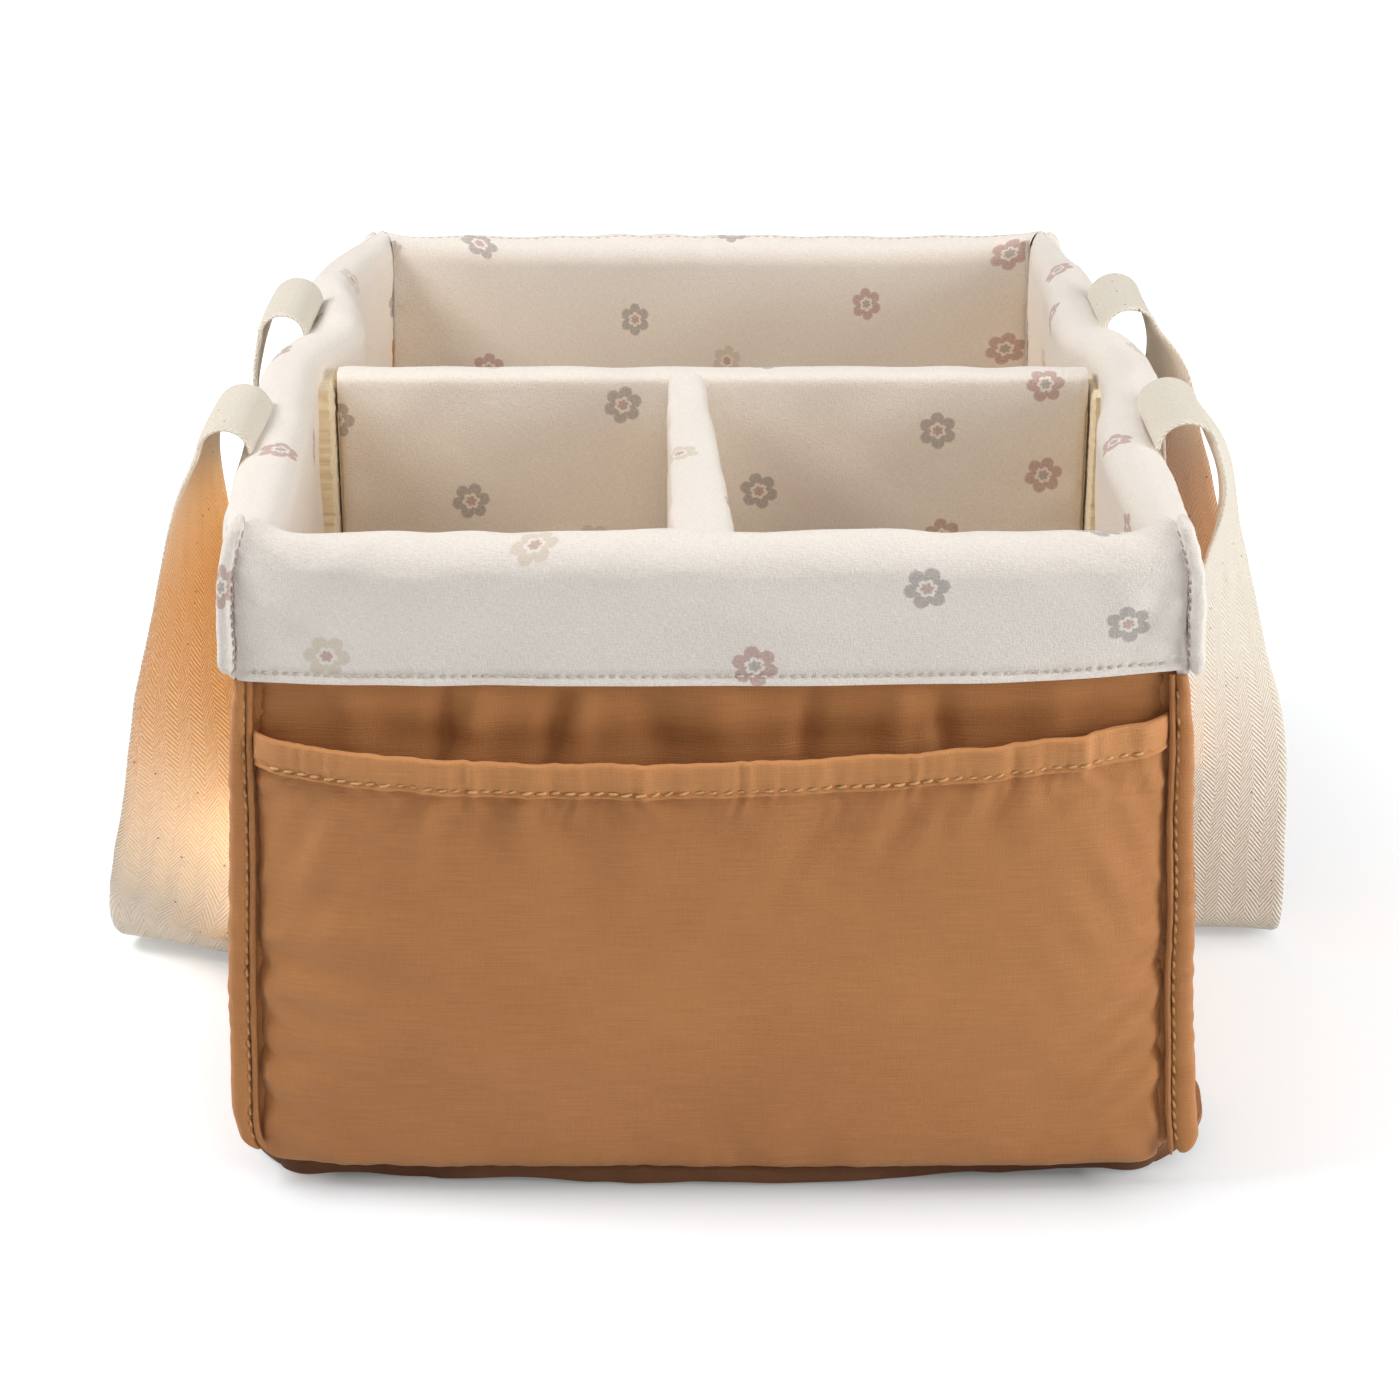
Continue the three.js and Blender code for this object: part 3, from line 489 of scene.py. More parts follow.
WALL_FOLDS = {
    "front": [(-69, 131, 88, 16, 3.2, -1.6), (-60, 130, 78, 14, 4, 1.4),
              (-40, 131, 82, 16, 3.5, -1.8), (-33, 131, 80, 15, 3.5, 1.2),
              (-15, 131, 96, 16, 6, -1.2), (3, 132, 92, 15, 6, 1),
              (24, 131, 84, 15, 3.5, -1.4), (47, 131, 84, 15, 4, 1.2),
              (59, 131, 95, 14, 3.5, -1.4), (86, 134, 80, 12, 6, 1),
              (-90, 133, 96, 14, 5, 1), (-78, 131, -8, 26, 4.5, -0.8),
              (-30, 128.5, 0, 36, 4.5, -0.7), (30, 130, 4, 30, 4.5, -0.6),
              (80, 134.5, 8, 30, 4.5, -0.7)],
    "back": [(-60, 120, 70, 30, 9, -1), (50, 50, 20, 50, 10, 1)],
    "left": [(-90, 100, 60, 30, 8, -1), (20, 40, 15, 50, 10, 1),
             (80, 110, 100, 30, 8, -1.2)],
    "right": [(-80, 100, 105, 30, 8, -1.2), (-20, 50, 10, 50, 10, 1),
              (70, 110, 75, 30, 8, -1.2)],
}
for number, side in enumerate(("front", "back", "left", "right")):
    half = half_depth(0.09) if side in ("left", "right") else half_width(0.09)
    t = np.sin(np.linspace(-np.pi / 2, np.pi / 2, 205)) * 0.5 + np.linspace(-1, 1, 205) * 0.5
    z = np.linspace(0.0052, 0.1722, 121)
    t, z = grid_of(t, z)
    run = t * half
    edge = (1 - np.abs(t)) * half
    drawn = 0.0026 * np.exp(-edge / 0.0014) + 0.003 * np.exp(-((z - 0.005) / 0.0022))
    swell = 1.6 * puckers(edge, z, 20 + number) + 0.00035 * ripples(run, z, 0.055, 30 + number, spread=1.2)
    swell += 1.35 * folds(run, z, WALL_FOLDS[side]) + puckers(z - 0.004, run, 70 + number) * 0.8
    outer = wall(side, t, z, drawn - swell)
    inner = wall(side, t, z, thickness(t, z) - 0.0014)
    uv = join(run + number * 0.4, z)
    padded_wall = two_sided(
        f"{side}_wall", outer, inner, uv, caramel, "body", stands_for=(f"{side}_outer_panel", f"{side}_foam"),
        slot="outer_cotton",
    )

# Front pocket: one caramel panel sewn into the corner seams and the bottom seam, loose at the top, where a
# folded band of the same cloth edges it. The mouth sags in the middle and gapes a little.

CLOTH = 0.0011
MOUTH = np.array([(-1, 0.42), (-0.8, 0.25), (-0.45, 0), (0, 0), (0.5, 0.4), (0.85, 0.85), (1, 1)])
POCKET_STAND = 0.007
POCKET_FOLDS = [
    (-98, 66, -12, 20, 4.5, -1), (-94, 78, -8, 24, 6, 1),
    (-102, 50, 10, 18, 6, -0.8), (-60, 105, 70, 18, 8, -0.7),
    (-20, 103, 85, 16, 7, 0.6), (-45, 98, 80, 18, 8, 0.6),
    (30, 104, 100, 14, 8, -0.5), (85, 30, 35, 26, 10, -0.9),
    (60, 18, 15, 30, 7, 0.8), (-30, 45, 5, 60, 16, 0.5),
]


def pocket(t, z, depth):
    """The pocket's cloth: it lies 0.5 mm off the front wall at its sides and foot, and stands off further in the
    middle of its upper part. Depth is counted in from the outer face."""
    off = 0.0005 + POCKET_STAND * puff(t) * np.sin(np.pi / 2 * unit(z / 0.062))
    back = wall("front", t, z, np.zeros_like(t))
    x = t * (half_width(z) - 0.0013)
    return join(x, back[..., 1] - off - 0.0012 + depth, z)


def pocket_relief(t, z):
    """Gathers at the side seams and under the hem, drag lines from the corners, and a slow unevenness."""
    run = t * half_width(z)
    edge = (1 - np.abs(t)) * half_width(z)
    below_hem = np.maximum(mouth_height(t) - 0.0095 - z, 0)
    relief = 2.0 * puckers(edge, z, 101) + 1.5 * puckers(below_hem, run, 115) + folds(run, z, POCKET_FOLDS)
    relief += 0.7 * puckers(z - 0.005, run, 131) + 0.0004 * ripples(run, z, 0.06, 140, spread=1.4)
    return relief - 0.0024 * np.exp(-edge / 0.0014) - 0.003 * np.exp(-(z - 0.0055) / 0.0022)


def mouth_height(t):
    """The pocket's top edge: lowest in the middle, higher towards the seams, most on the right."""
    return 0.1272 + 0.008 * through(MOUTH, t)


t = np.linspace(-1, 1, 341)[:, None] * np.ones((1, 143))
foot = 0.0056 + 0.0024 * np.exp(-(1 + t) * 0.12 / 0.012)
z = foot + (mouth_height(t) - 0.0022 - foot) * np.linspace(0, 1, 143)[None, :]
outer = pocket(t, z, -pocket_relief(t, z))
inner = outer + (0, CLOTH, 0)
uv = join(t * half_width(z) + 2.0, z)
pocket_cloth = two_sided("pocket", outer, inner, uv, caramel, "body", stands_for=("pocket_panel",), slot="outer_cotton")

# The band is 9 mm high: its front face, the fold over the top and the turned-in back make one closed section. It is
# cut across the cloth, and its colour is painted a little lighter, as painted sheen.


def bell(away, width):
    """A bell curve: 1 in its middle, 0.37 at one width away from it."""
    return np.exp(-((away / width) ** 2))


def signed_power(value, power):
    """A power of a value's size that keeps its sign: it makes an ellipse squarer when below 1."""
    return np.sign(value) * np.abs(value) ** power


# Painted sheen: the band's caramel is a little lighter than the walls'.
band_satin = satin_cotton("band_satin", linear(218, 152, 94), linear(184, 122, 69))
turn = np.linspace(0, 2 * np.pi, 73)[:-1]
high = 0.0045 * signed_power(np.sin(turn), 0.3)
thick = 0.00125 * signed_power(np.cos(turn), 0.45)
t = np.linspace(-1, 1, 341)
t, high = grid_of(t, high)
thick = np.broadcast_to(thick, t.shape)
run = t * half_width(0.125)
seam_dent = 0.0008 * bell(high + 0.003, 0.0007) * (1 + 0.25 * np.sin(run * 2 * np.pi / 0.0034))
z = mouth_height(t) - 0.0045 + high
bow = 0.0006 * ripples(run, high, 0.03, 151) * bell(high - 0.004, 0.006)
lift = 0.7 * pocket_relief(t, np.minimum(z, mouth_height(t) - 0.0045)) + bow
band = pocket(t, z, -0.0016 - lift - thick + np.where(thick > 0, seam_dent, 0))
band[..., 2] += 0.0002 * ripples(run, high, 0.02, 155)
uv = join(run + 2.6, high + thick)


def capped_piece(name, rings, uv, material, body, **rest):
    """A round piece whose two ends are drawn together in the middle of their last ring."""
    ends = [np.broadcast_to(ring.mean(axis=0), (1,) + ring.shape) for ring in (rings[0], rings[-1])]
    rings, uv = np.concatenate([ends[0], rings, ends[1]]), np.concatenate([uv[:1], uv, uv[-1:]])
    return round_piece(name, rings, uv, material, body, **rest)


capped_piece("pocket_band", band, uv, band_satin, "body", stands_for=("pocket_hem_band",), slot="outer_cotton_edge")

# Lining and cuff: cream printed cotton, one cloth for each wall. It runs up the inside, over the foam at the rim
# and down the outside as a cuff with a stitched hem. The corners are sewn and stand up in small peaks.


def printed_cotton(name, shift, warm=1.0):
    """Cream cotton with a scattered print of small blossoms in dusty rose, taupe and pale beige. The cloth is cut
    into cells in half-drop columns. In each cell one blossom, turned and moved by chance, has a five-lobed edge.
    Up to 15 cm along the cloth, inside the caddy, it is painted a little warmer by the amount warm, as painted warm
    light thrown back between the walls."""
    material, tree, output = blank_material(name)
    flat = node(tree, "UVMap", uv_map="cloth")[0]
    spot = node(tree, "Mapping", {"Vector": flat, "Location": (shift, shift * 0.7, 0), "Scale": (22.0, 25.0, 1.0)})[0]
    part = node(tree, "SeparateXYZ", {0: spot})
    column = calc(tree, "FLOOR", part[0])
    drop = calc(tree, "MULTIPLY_ADD", column, 0.5, part[1])
    row = calc(tree, "FLOOR", drop)
    cell = node(tree, "CombineXYZ", {0: column, 1: row})[0]
    chance = node(tree, "TexWhiteNoise", {"Vector": cell}, noise_dimensions="3D")
    draw = node(tree, "SeparateColor", {0: chance["Color"]})
    off = []
    for spot, whole, draw_part, cells in ((part[0], column, draw[0], 22.0), (drop, row, draw[1], 25.0)):
        spot = calc(tree, "SUBTRACT", spot, whole)
        spot = calc(tree, "SUBTRACT", spot, ramp(tree, draw_part, 0, 1, 0.3, 0.7))
        off.append(calc(tree, "MULTIPLY", spot, 1 / cells))
    reach = length_of(tree, node(tree, "CombineXYZ", {0: off[0], 1: off[1]})[0])
    brush = noise(tree, flat, 1500.0, 2.0)
    wobble = ramp(tree, brush, 0, 1, -0.0006, 0.0006)
    reach = calc(tree, "ADD", reach, wobble)
    angle = calc(tree, "ARCTAN2", off[1], off[0])
    angle = calc(tree, "MULTIPLY_ADD", draw[2], 6.283, angle)
    lobes = calc(tree, "SINE", calc(tree, "MULTIPLY", angle, 3.0))
    lobes = calc(tree, "POWER", calc(tree, "ABSOLUTE", lobes), 0.6)
    edge = ramp(tree, lobes, 0, 1, 0.0036, 0.0056)
    ratio = calc(tree, "DIVIDE", reach, edge)
    petals = ramp(tree, ratio, 0.96, 1.06, 1.0, 0.0)
    bare = ramp(tree, ratio, 0.44, 0.5, 0.0, 1.0)
    heart = ramp(tree, ratio, 0.26, 0.32, 1.0, 0.0)
    petals = calc(tree, "MULTIPLY", petals, bare)
    pick = calc(tree, "MULTIPLY", draw[0], 7.0)
    pick = calc(tree, "FRACT", pick)
    rose, taupe, sand = linear(190, 146, 136), linear(168, 156, 150), linear(222, 206, 186)
    first = calc(tree, "GREATER_THAN", pick, 0.36)
    second = calc(tree, "GREATER_THAN", pick, 0.74)
    petal = mix(tree, first, rose, taupe)
    petal = mix(tree, second, petal, sand)
    core = mix(tree, first, taupe, rose)
    ink = ramp(tree, brush, 0.25, 0.7, 0.45, 0.85)
    wash = calc(tree, "MULTIPLY", petals, ink)
    dab = calc(tree, "MULTIPLY", heart, ink)
    weave = calc(tree, "ADD", streaks(tree, flat, 4200.0, 520.0, 2.0), streaks(tree, flat, 520.0, 4200.0, 2.0))
    weave = calc(tree, "ADD", brush, weave)
    shade = ramp(tree, weave, 1.1, 1.9)
    ground = mix(tree, shade, linear(240, 229, 217), linear(254, 247, 239))
    paint = mix(tree, wash, ground, petal)
    paint = mix(tree, dab, paint, core)
    height = node(tree, "SeparateXYZ", {0: flat})[1]
    # Painted warm light: inside the caddy the cloth is tinted warmer, for the light thrown back between the walls.
    inside = ramp(tree, height, 0.148, 0.172, warm, 0.0)
    painted_bounce_tint = mix(tree, inside, (1, 1, 1, 1), (1.0, 0.95, 0.88, 1))
    paint = mix(tree, 1.0, paint, painted_bounce_tint, "MULTIPLY")
    bump = bumps(tree, weave, 0.9, 0.00022)
    finish(tree, output, {
        "Base Color": paint, "Roughness": 0.8, "Normal": bump, "Sheen Weight": 0.2, "Sheen Roughness": 0.5,
        "Specular IOR Level": 0.25,
    })
    return material


def cuff_edge(side, t):
    """The hem's height: 143.4 mm in the middle of the front, a little lower on the left, higher on the right."""
    if side == "front":
        return 0.1447 + 0.0002 * unit(-t) ** 2 + 0.003 * unit(t) ** 2.2
    return 0.1447 + 0.0006 * np.sin(t * 4.0 + len(side))


LINING_LENGTH = 0.2204
OVER_THE_RIM = 0.178  # how far up the lining its highest line is


def over_rim(side, t, q):
    """Depth and height of the lining's path at q from 0 to 1: up the inner face, over the rim along half an ellipse,
    and down the outside to the hem, 3 mm off the wall. The last value is the length of the path in metres."""
    foot, rim, rise = 0.0076, 0.172, 0.009
    up, arch, down = 0.1644, 0.027, 0.029
    s = q * (up + arch + down)
    deep = thickness(t, np.minimum(foot + s, rim))
    rim_deep = thickness(t, np.full_like(t, rim))
    bend = np.pi * unit((s - up) / arch)
    peak = (0.0048 if side == "front" else 0.0012) * np.exp(-((1 - np.abs(t)) * 0.12 / 0.0042) ** 1.3)
    on_arch = (rim_deep - 0.003) / 2 + (rim_deep + 0.003) / 2 * np.cos(bend)
    depth = np.where(s < up, deep, on_arch)
    fall = unit((s - up - arch) / down)
    z = np.where(s < up, foot + s, rim + rise * np.sin(bend) - fall * (rim - cuff_edge(side, t)))
    return depth, z + peak * unit((s - up * 0.97) / (0.03 * up)) * (1 - fall), s


CUFF_FOLDS = [(-108, 198, 70, 12, 4, 0.8), (-104, 205, 40, 10, 4, -0.7),
              (104, 204, 120, 12, 4, -0.8), (100, 196, 100, 10, 5, 0.7),
              (30, 203, 5, 70, 8, 0.4), (-50, 199, -4, 50, 7, -0.4)]
linings = {}
for number, side in enumerate(("front", "back", "left", "right")):
    half = half_depth(0.17) if side in ("left", "right") else half_width(0.17)
    t = np.sin(np.linspace(-np.pi / 2, np.pi / 2, 241)) * 0.45 + np.linspace(-1, 1, 241) * 0.55
    q = np.concatenate([np.linspace(0, 0.7, 70), np.linspace(0.705, 1.0, 84)])
    t, q = grid_of(t, q)
    depth, z, s = over_rim(side, t, q)
    run = t * half
    edge = (1 - np.abs(t)) * half
    to_hem = LINING_LENGTH - s
    relief = (0.3 + 0.9 * unit((s - OVER_THE_RIM) / 0.01)) * puckers(edge, s, 200 + number)
    relief += 0.0005 * ripples(run, s, 0.045, 210 + number, spread=1.3)
    relief += 0.00045 * ripples(run, s, 0.022, 220 + number, spread=0.5) * bell(s - OVER_THE_RIM, 0.012)
    relief += folds(run, s, CUFF_FOLDS if side == "front" else CUFF_FOLDS[:4])
    relief -= 0.0006 * bell(to_hem - 0.0026, 0.0008) * (1 + 0.4 * np.sin(run * 2 * np.pi / 0.0027))
    relief += 0.0004 * unit(1 - to_hem / 0.003) + 0.0003 * ripples(run, s, 0.03, 230 + number) * (to_hem < 0.03)
    relief -= 0.001 * np.exp(-edge / 0.0014) * unit((s - 0.18) / 0.01)
    surface = wall(side, t, z, depth)
    normal = facing(surface)
    into = wall(side, t, z, depth + np.where(s < OVER_THE_RIM, 0.001, -0.001)) - surface
    flip = np.sign(np.sum(normal[130, 20] * into[130, 20]))
    surface = surface + normal * flip * relief[..., None]
    thin = CLOTH + 0.0008 * unit((0.01 - to_hem) / 0.001)
    inner = surface - normal * flip * thin[..., None]
    uv = join(run + 0.3 * number, s)
    lining = two_sided(
        f"{side}_lining_cloth", surface, inner, uv, printed_cotton(f"{side}_print", 0.37 + 1.3 * number), "body",
        stands_for=(f"{side}_lining", f"{side}_cuff"), slot="lining_cotton",
    )
    linings[side] = (surface, normal * flip, to_hem, s)

# Stitching of the lining: pale thread along the cuff's hem and under the rim. The lilac thread is for the cuff's
# corner seams, which are sewn once the corner rolls are in place.


def thread(name, colour):
    """Twisted sewing thread: cotton with a fine ply across it."""
    material, tree, output = blank_material(name)
    place = node(tree, "TexCoord")["Object"]
    ply = noise(tree, place, 2500.0, 2.0)
    tone = ramp(tree, ply, 0.3, 0.7, 0.78, 1.08)
    paint = node(tree, "VectorMath", {0: colour[:3], 3: tone}, operation="SCALE")[0]
    bump = bumps(tree, ply, 0.6, 0.0001)
    finish(tree, output, {
        "Base Color": paint, "Roughness": 0.6, "Normal": bump, "Specular IOR Level": 0.3,
    })
    return material


def stitches(name, rows, pitch, length, radius, slant, material):
    """Thread stitches along rows, each row a line of points with its normals. A stitch is five rings of six points:
    round in the middle, thin and sunk at its ends, and turned by slant out of the row's direction."""
    rng = np.random.default_rng(len(name))
    reach = np.array([-0.5, -0.4, 0.0, 0.4, 0.5])[:, None, None] * length
    girth = np.array([0.3, 0.85, 1.0, 0.85, 0.3])[:, None, None] * radius
    sink = np.array([-1.4, -0.3, 0.3, -0.3, -1.4])[:, None, None] * radius
    turn = np.linspace(0, 2 * np.pi, 7)[:-1]
    made = []
    for path, normal in rows:
        travel = np.concatenate([[0], np.cumsum(np.linalg.norm(np.diff(path, axis=0), axis=1))])
        at = np.arange(pitch * 0.6, travel[-1] - length / 2, pitch)
        at = at + rng.normal(0, 0.04 * pitch, len(at))
        spot, ahead, behind, up = (
            join(*(np.interp(place, travel, row[:, k]) for k in range(3)))
            for place, row in ((at, path), (at + 0.0005, path), (at - 0.0005, path), (at, normal))
        )
        run = (ahead - behind) / np.linalg.norm(ahead - behind, axis=1, keepdims=True)
        up -= run * np.sum(up * run, axis=1, keepdims=True)
        up /= np.linalg.norm(up, axis=1, keepdims=True)
        across = np.cross(up, run)
        lean = slant + rng.normal(0, 0.05, (len(at), 1))
        run, across = run * np.cos(lean) + across * np.sin(lean), across * np.cos(lean) - run * np.sin(lean)
        spot, run, across, up = (way[:, None, None] for way in (spot, run, across, up))
        ring = across * np.cos(turn)[:, None] + up * np.sin(turn)[:, None]
        made.append(spot + run * reach + ring * girth + up * sink)
    made = np.concatenate(made)
    ring_index = np.arange(30).reshape(5, 6)
    after = np.roll(ring_index, -1, axis=1)
    sides = join(ring_index[:-1], after[:-1], after[1:], ring_index[1:]).reshape(-1, 4)
    caps = np.array([[3, 2, 1, 0], [5, 4, 3, 0], [24, 25, 26, 27], [24, 27, 28, 29]])
    faces = np.concatenate([sides, caps])
    faces = (faces[None] + 30 * np.arange(len(made))[:, None, None]).reshape(-1, 4)
    points = made.reshape(-1, 3)
    return piece(name, points, faces, points[:, :2], material, "body", sharp=80)


pale_thread = thread("pale_thread", linear(216, 204, 192))
lilac_thread = thread("lilac_thread", linear(184, 166, 168))
hem_rows, rim_rows = [], []
for side, (surface, normal, to_hem, s) in linings.items():
    j = np.argmin(np.abs(to_hem[0] - 0.0026))
    hem_rows.append((surface[6:-6, j] + normal[6:-6, j] * 0.00012, normal[6:-6, j]))
    if side == "back":
        j = np.argmin(np.abs(s[0] - 0.1765))
        rim_rows.append((surface[12:-12, j], normal[12:-12, j]))
stitches("cuff_hem_stitches", hem_rows, 0.0027, 0.002, 0.0004, 0.16, pale_thread)
stitches("rim_stitches", rim_rows, 0.003, 0.0018, 0.00022, 0.0, pale_thread)

# Corner rolls: at each corner the side cloth turns forward round its own edge and is sewn to the end cloth. That
# leaves a plump ridge up the corner of the body and another on the cuff, with a flat fold and topstitching inside.


def tube(name, centre, half_x, half_y, square, seed, uv_shift, material, rough=0.0003, **rest):
    """An upright tube along a line of points with an oval section: cos and sin of the angle to the power 2/square,
    times half_x and half_y. Ripples along it, rough high, pucker it. It closes to a point at both ends."""
    count = len(centre)
    phi = np.linspace(0, 2 * np.pi, 33)[:-1][None, :]
    z = centre[:, 2:3] + 0 * phi
    wave = ripples(z, phi * 0.002, 0.0075, seed, spread=0.25) + 0.9 * ripples(z, phi * 0.004, 0.03, seed + 1)
    wave *= rough
    share = np.linspace(0, 1, count)[:, None]
    power = 2 / square
    x = centre[:, :1] + (half_x[:, None] + wave) * signed_power(np.cos(phi), power)
    y = centre[:, 1:2] + (half_y[:, None] + wave) * signed_power(np.sin(phi), power)
    loops = join(x, y, z)
    loops = np.concatenate([np.repeat(centre[:1, None], 32, 1), loops, np.repeat(centre[-1:, None], 32, 1)])
    uv = join(0 * loops[..., 2] + np.linspace(0, 0.02, 32)[None] + uv_shift, loops[..., 2])
    return round_piece(name, loops, uv, material, "body", **rest)


def rounded(z, low, high, ends):
    """1 along a tube, falling to nothing along a quarter of an ellipse within a distance of each end."""
    near = unit(np.minimum(z - low, high - z) / ends)
    return np.sqrt(np.clip(1 - (1 - near) ** 2, 0.0004, 1))


tan_thread = thread("tan_thread", linear(206, 158, 100))
golden_thread = thread("golden_thread", linear(226, 180, 122))
body_rows, cuff_rows = [], []
ROLL_OUT = {  # (height, how far the ridge's outer edge stands out, how far its inner edge does)
    -1: np.array([(0.01, 0.0012, -0.0022), (0.014, 0.0042, 0.0000), (0.02, 0.006, 0.0008), (0.035, 0.0066, 0.0008),
                  (0.09, 0.0061, 0.0006), (0.125, 0.005, 0.0004), (0.146, 0.0036, 0.0002)]),
    1: np.array([(0.009, 0.0066, 0.0022), (0.014, 0.0088, 0.002), (0.02, 0.0086, 0.0016), (0.045, 0.007, 0.0008),
                 (0.09, 0.0063, 0.0006), (0.125, 0.0052, 0.0004), (0.146, 0.0038, 0.0002)]),
}
for number, (end, side, sign_x, sign_y) in enumerate(
    (("front", "left", -1, -1), ("front", "right", 1, -1), ("back", "left", -1, 1), ("back", "right", 1, 1))
):
    rows = ROLL_OUT[sign_x]
    z = np.linspace(rows[0, 0], 0.146, 300)
    out, inner = through(rows, z, 1), through(rows, z, 2)
    front = half_depth(z) + 0.0004
    swell = rounded(z, rows[0, 0], 0.148, 0.004)
    wander = 0.0003 * ripples(z, 0 * z, 0.05, 810 + number)
    x = sign_x * (half_width(z) + (out + inner) / 2 + wander)
    tube(f"{end}_{side}_body_roll", join(x, sign_y * front, z), (out - inner) / 2 * swell,
         0.003 * swell, 2.3, 300 + number, 9.0 + number, caramel, 0.00028,
         stands_for=(f"{end}_{side}_seam",), slot="outer_cotton_edge")
    # Both walls' seam allowances, turned back behind the ridge, fill the corner.
    tube(f"{end}_{side}_seam_allowance",
         join(sign_x * (half_width(z) - 0.0015), sign_y * (half_depth(z) - 0.005), z),
         0.005 * swell, 0.0045 * swell, 2.6, 340 + number, 9.6 + number, caramel, 0.0002, slot="outer_cotton_edge")
    x = sign_x * (half_width(z) + inner - 0.0007 + wander)
    tube(f"{end}_{side}_seam_fold", join(x, sign_y * (front + 0.0017), z), 0.0008 * swell,
         0.001 * swell, 2.0, 330 + number, 9.3 + number, caramel, 0.00012, slot="outer_cotton_edge")
    line = join(sign_x * (half_width(z) + inner + 0.0007 + wander), sign_y * (front + 0.0023), z)
    body_rows.append((line[8:-8], np.tile([0.0, float(sign_y), 0.0], (len(line) - 16, 1))))

    top = 0.1862 if end == "front" else 0.1815
    z = np.linspace(0.1464, top, 120)
    swell = rounded(z, 0.146, top + 0.0004, 0.004)
    wander = 0.0002 * ripples(z, 0 * z, 0.02, 850 + number)
    lean = unit((z - 0.166) / (top - 0.166)) ** 2
    x = sign_x * (half_width(z) + 0.0052 + wander - 0.0036 * lean)
    y = sign_y * (half_depth(z) + 0.002 - 0.0034 * lean)
    roll_print = printed_cotton(f"{end}_{side}_roll_print", 5.1 + number, 0.0)
    tube(f"{end}_{side}_cuff_roll", join(x, y, z), 0.0021 * swell, 0.0033 * swell, 2.4, 400 + number, 12.0 + number,
         roll_print, 0.00022, stands_for=(f"{end}_{side}_cuff_seam",), slot="lining_cotton")
    line = join(x - sign_x * 0.0022, sign_y * (half_depth(z) + 0.004 - 0.002 * lean), z)
    cuff_rows.append((line[6:-6], np.tile([0.0, float(sign_y), 0.0], (len(line) - 12, 1))))
    # The seam inside the corner runs from the floor to the rim.
    z = np.linspace(0.008, 0.18, 200)
    inset = 0.0063 + 0.0003 * ripples(z, 0 * z, 0.03, 860 + number)
    line = join(sign_x * (half_width(z) - inset), sign_y * (half_depth(z) - inset), z)
    tube(f"{end}_{side}_inner_seam", line, 0.0007 + 0 * z, 0.0007 + 0 * z, 2.0, 870 + number, 13.0, pale_thread, 0.0002,
         slot="lining_cotton")
stitches("corner_stitches", body_rows, 0.0034, 0.0025, 0.00042, 0.16, tan_thread)
stitches("cuff_corner_stitches", cuff_rows, 0.0024, 0.0018, 0.00026, 0.2, lilac_thread)
hem_path = np.argmin(np.abs(high[0] + 0.003) + 0.01 * (thick[0] < 0))
hem_line = band[6:-6, hem_path] - np.array([0, 0.0003, 0])
stitches("pocket_hem_stitches", [(hem_line, np.tile([0.0, -1.0, 0.0], (len(hem_line), 1)))], 0.0037, 0.0028, 0.00042,
         0.2, golden_thread)

# Floor lining: a sheet of the cream print that lies on the base board. Its edges follow the inner faces of the four
# walls, and its inside is blended from them.
u, v = grid_of(np.linspace(-1, 1, 61), np.linspace(-1, 1, 61))
low = np.full_like(u, 0.0061)
a, b = (u + 1) / 2, (v + 1) / 2
west, east = (wall(side, v, low, thickness(v, low) - 0.0012) for side in ("left", "right"))
south, north = (wall(side, u, low, thickness(u, low) - 0.0012) for side in ("front", "back"))
lean = west * (1 - a)[..., None] + east * a[..., None]
corners = (lean[:, :1] * (1 - b)[..., None] + lean[:, -1:] * b[..., None])
under = lean + south * (1 - b)[..., None] + north * b[..., None] - corners
under[..., 2] = 0.0062
over = under + (0, 0, CLOTH)
over[..., 2] += 0.00015 * ripples(under[..., 0], under[..., 1], 0.05, 500, spread=1.5)
floor_cloth = two_sided(
    "floor_cloth", over, under, under[..., :2] + 3.0, printed_cotton("floor_print", 9.3), "body",
    stands_for=("floor_lining",), slot="lining_cotton",
)

# Divider insert: a foam board in cream cotton across the caddy, and a second one, sewn to its middle by a strip of
# the same cloth, that swings between the two front compartments.


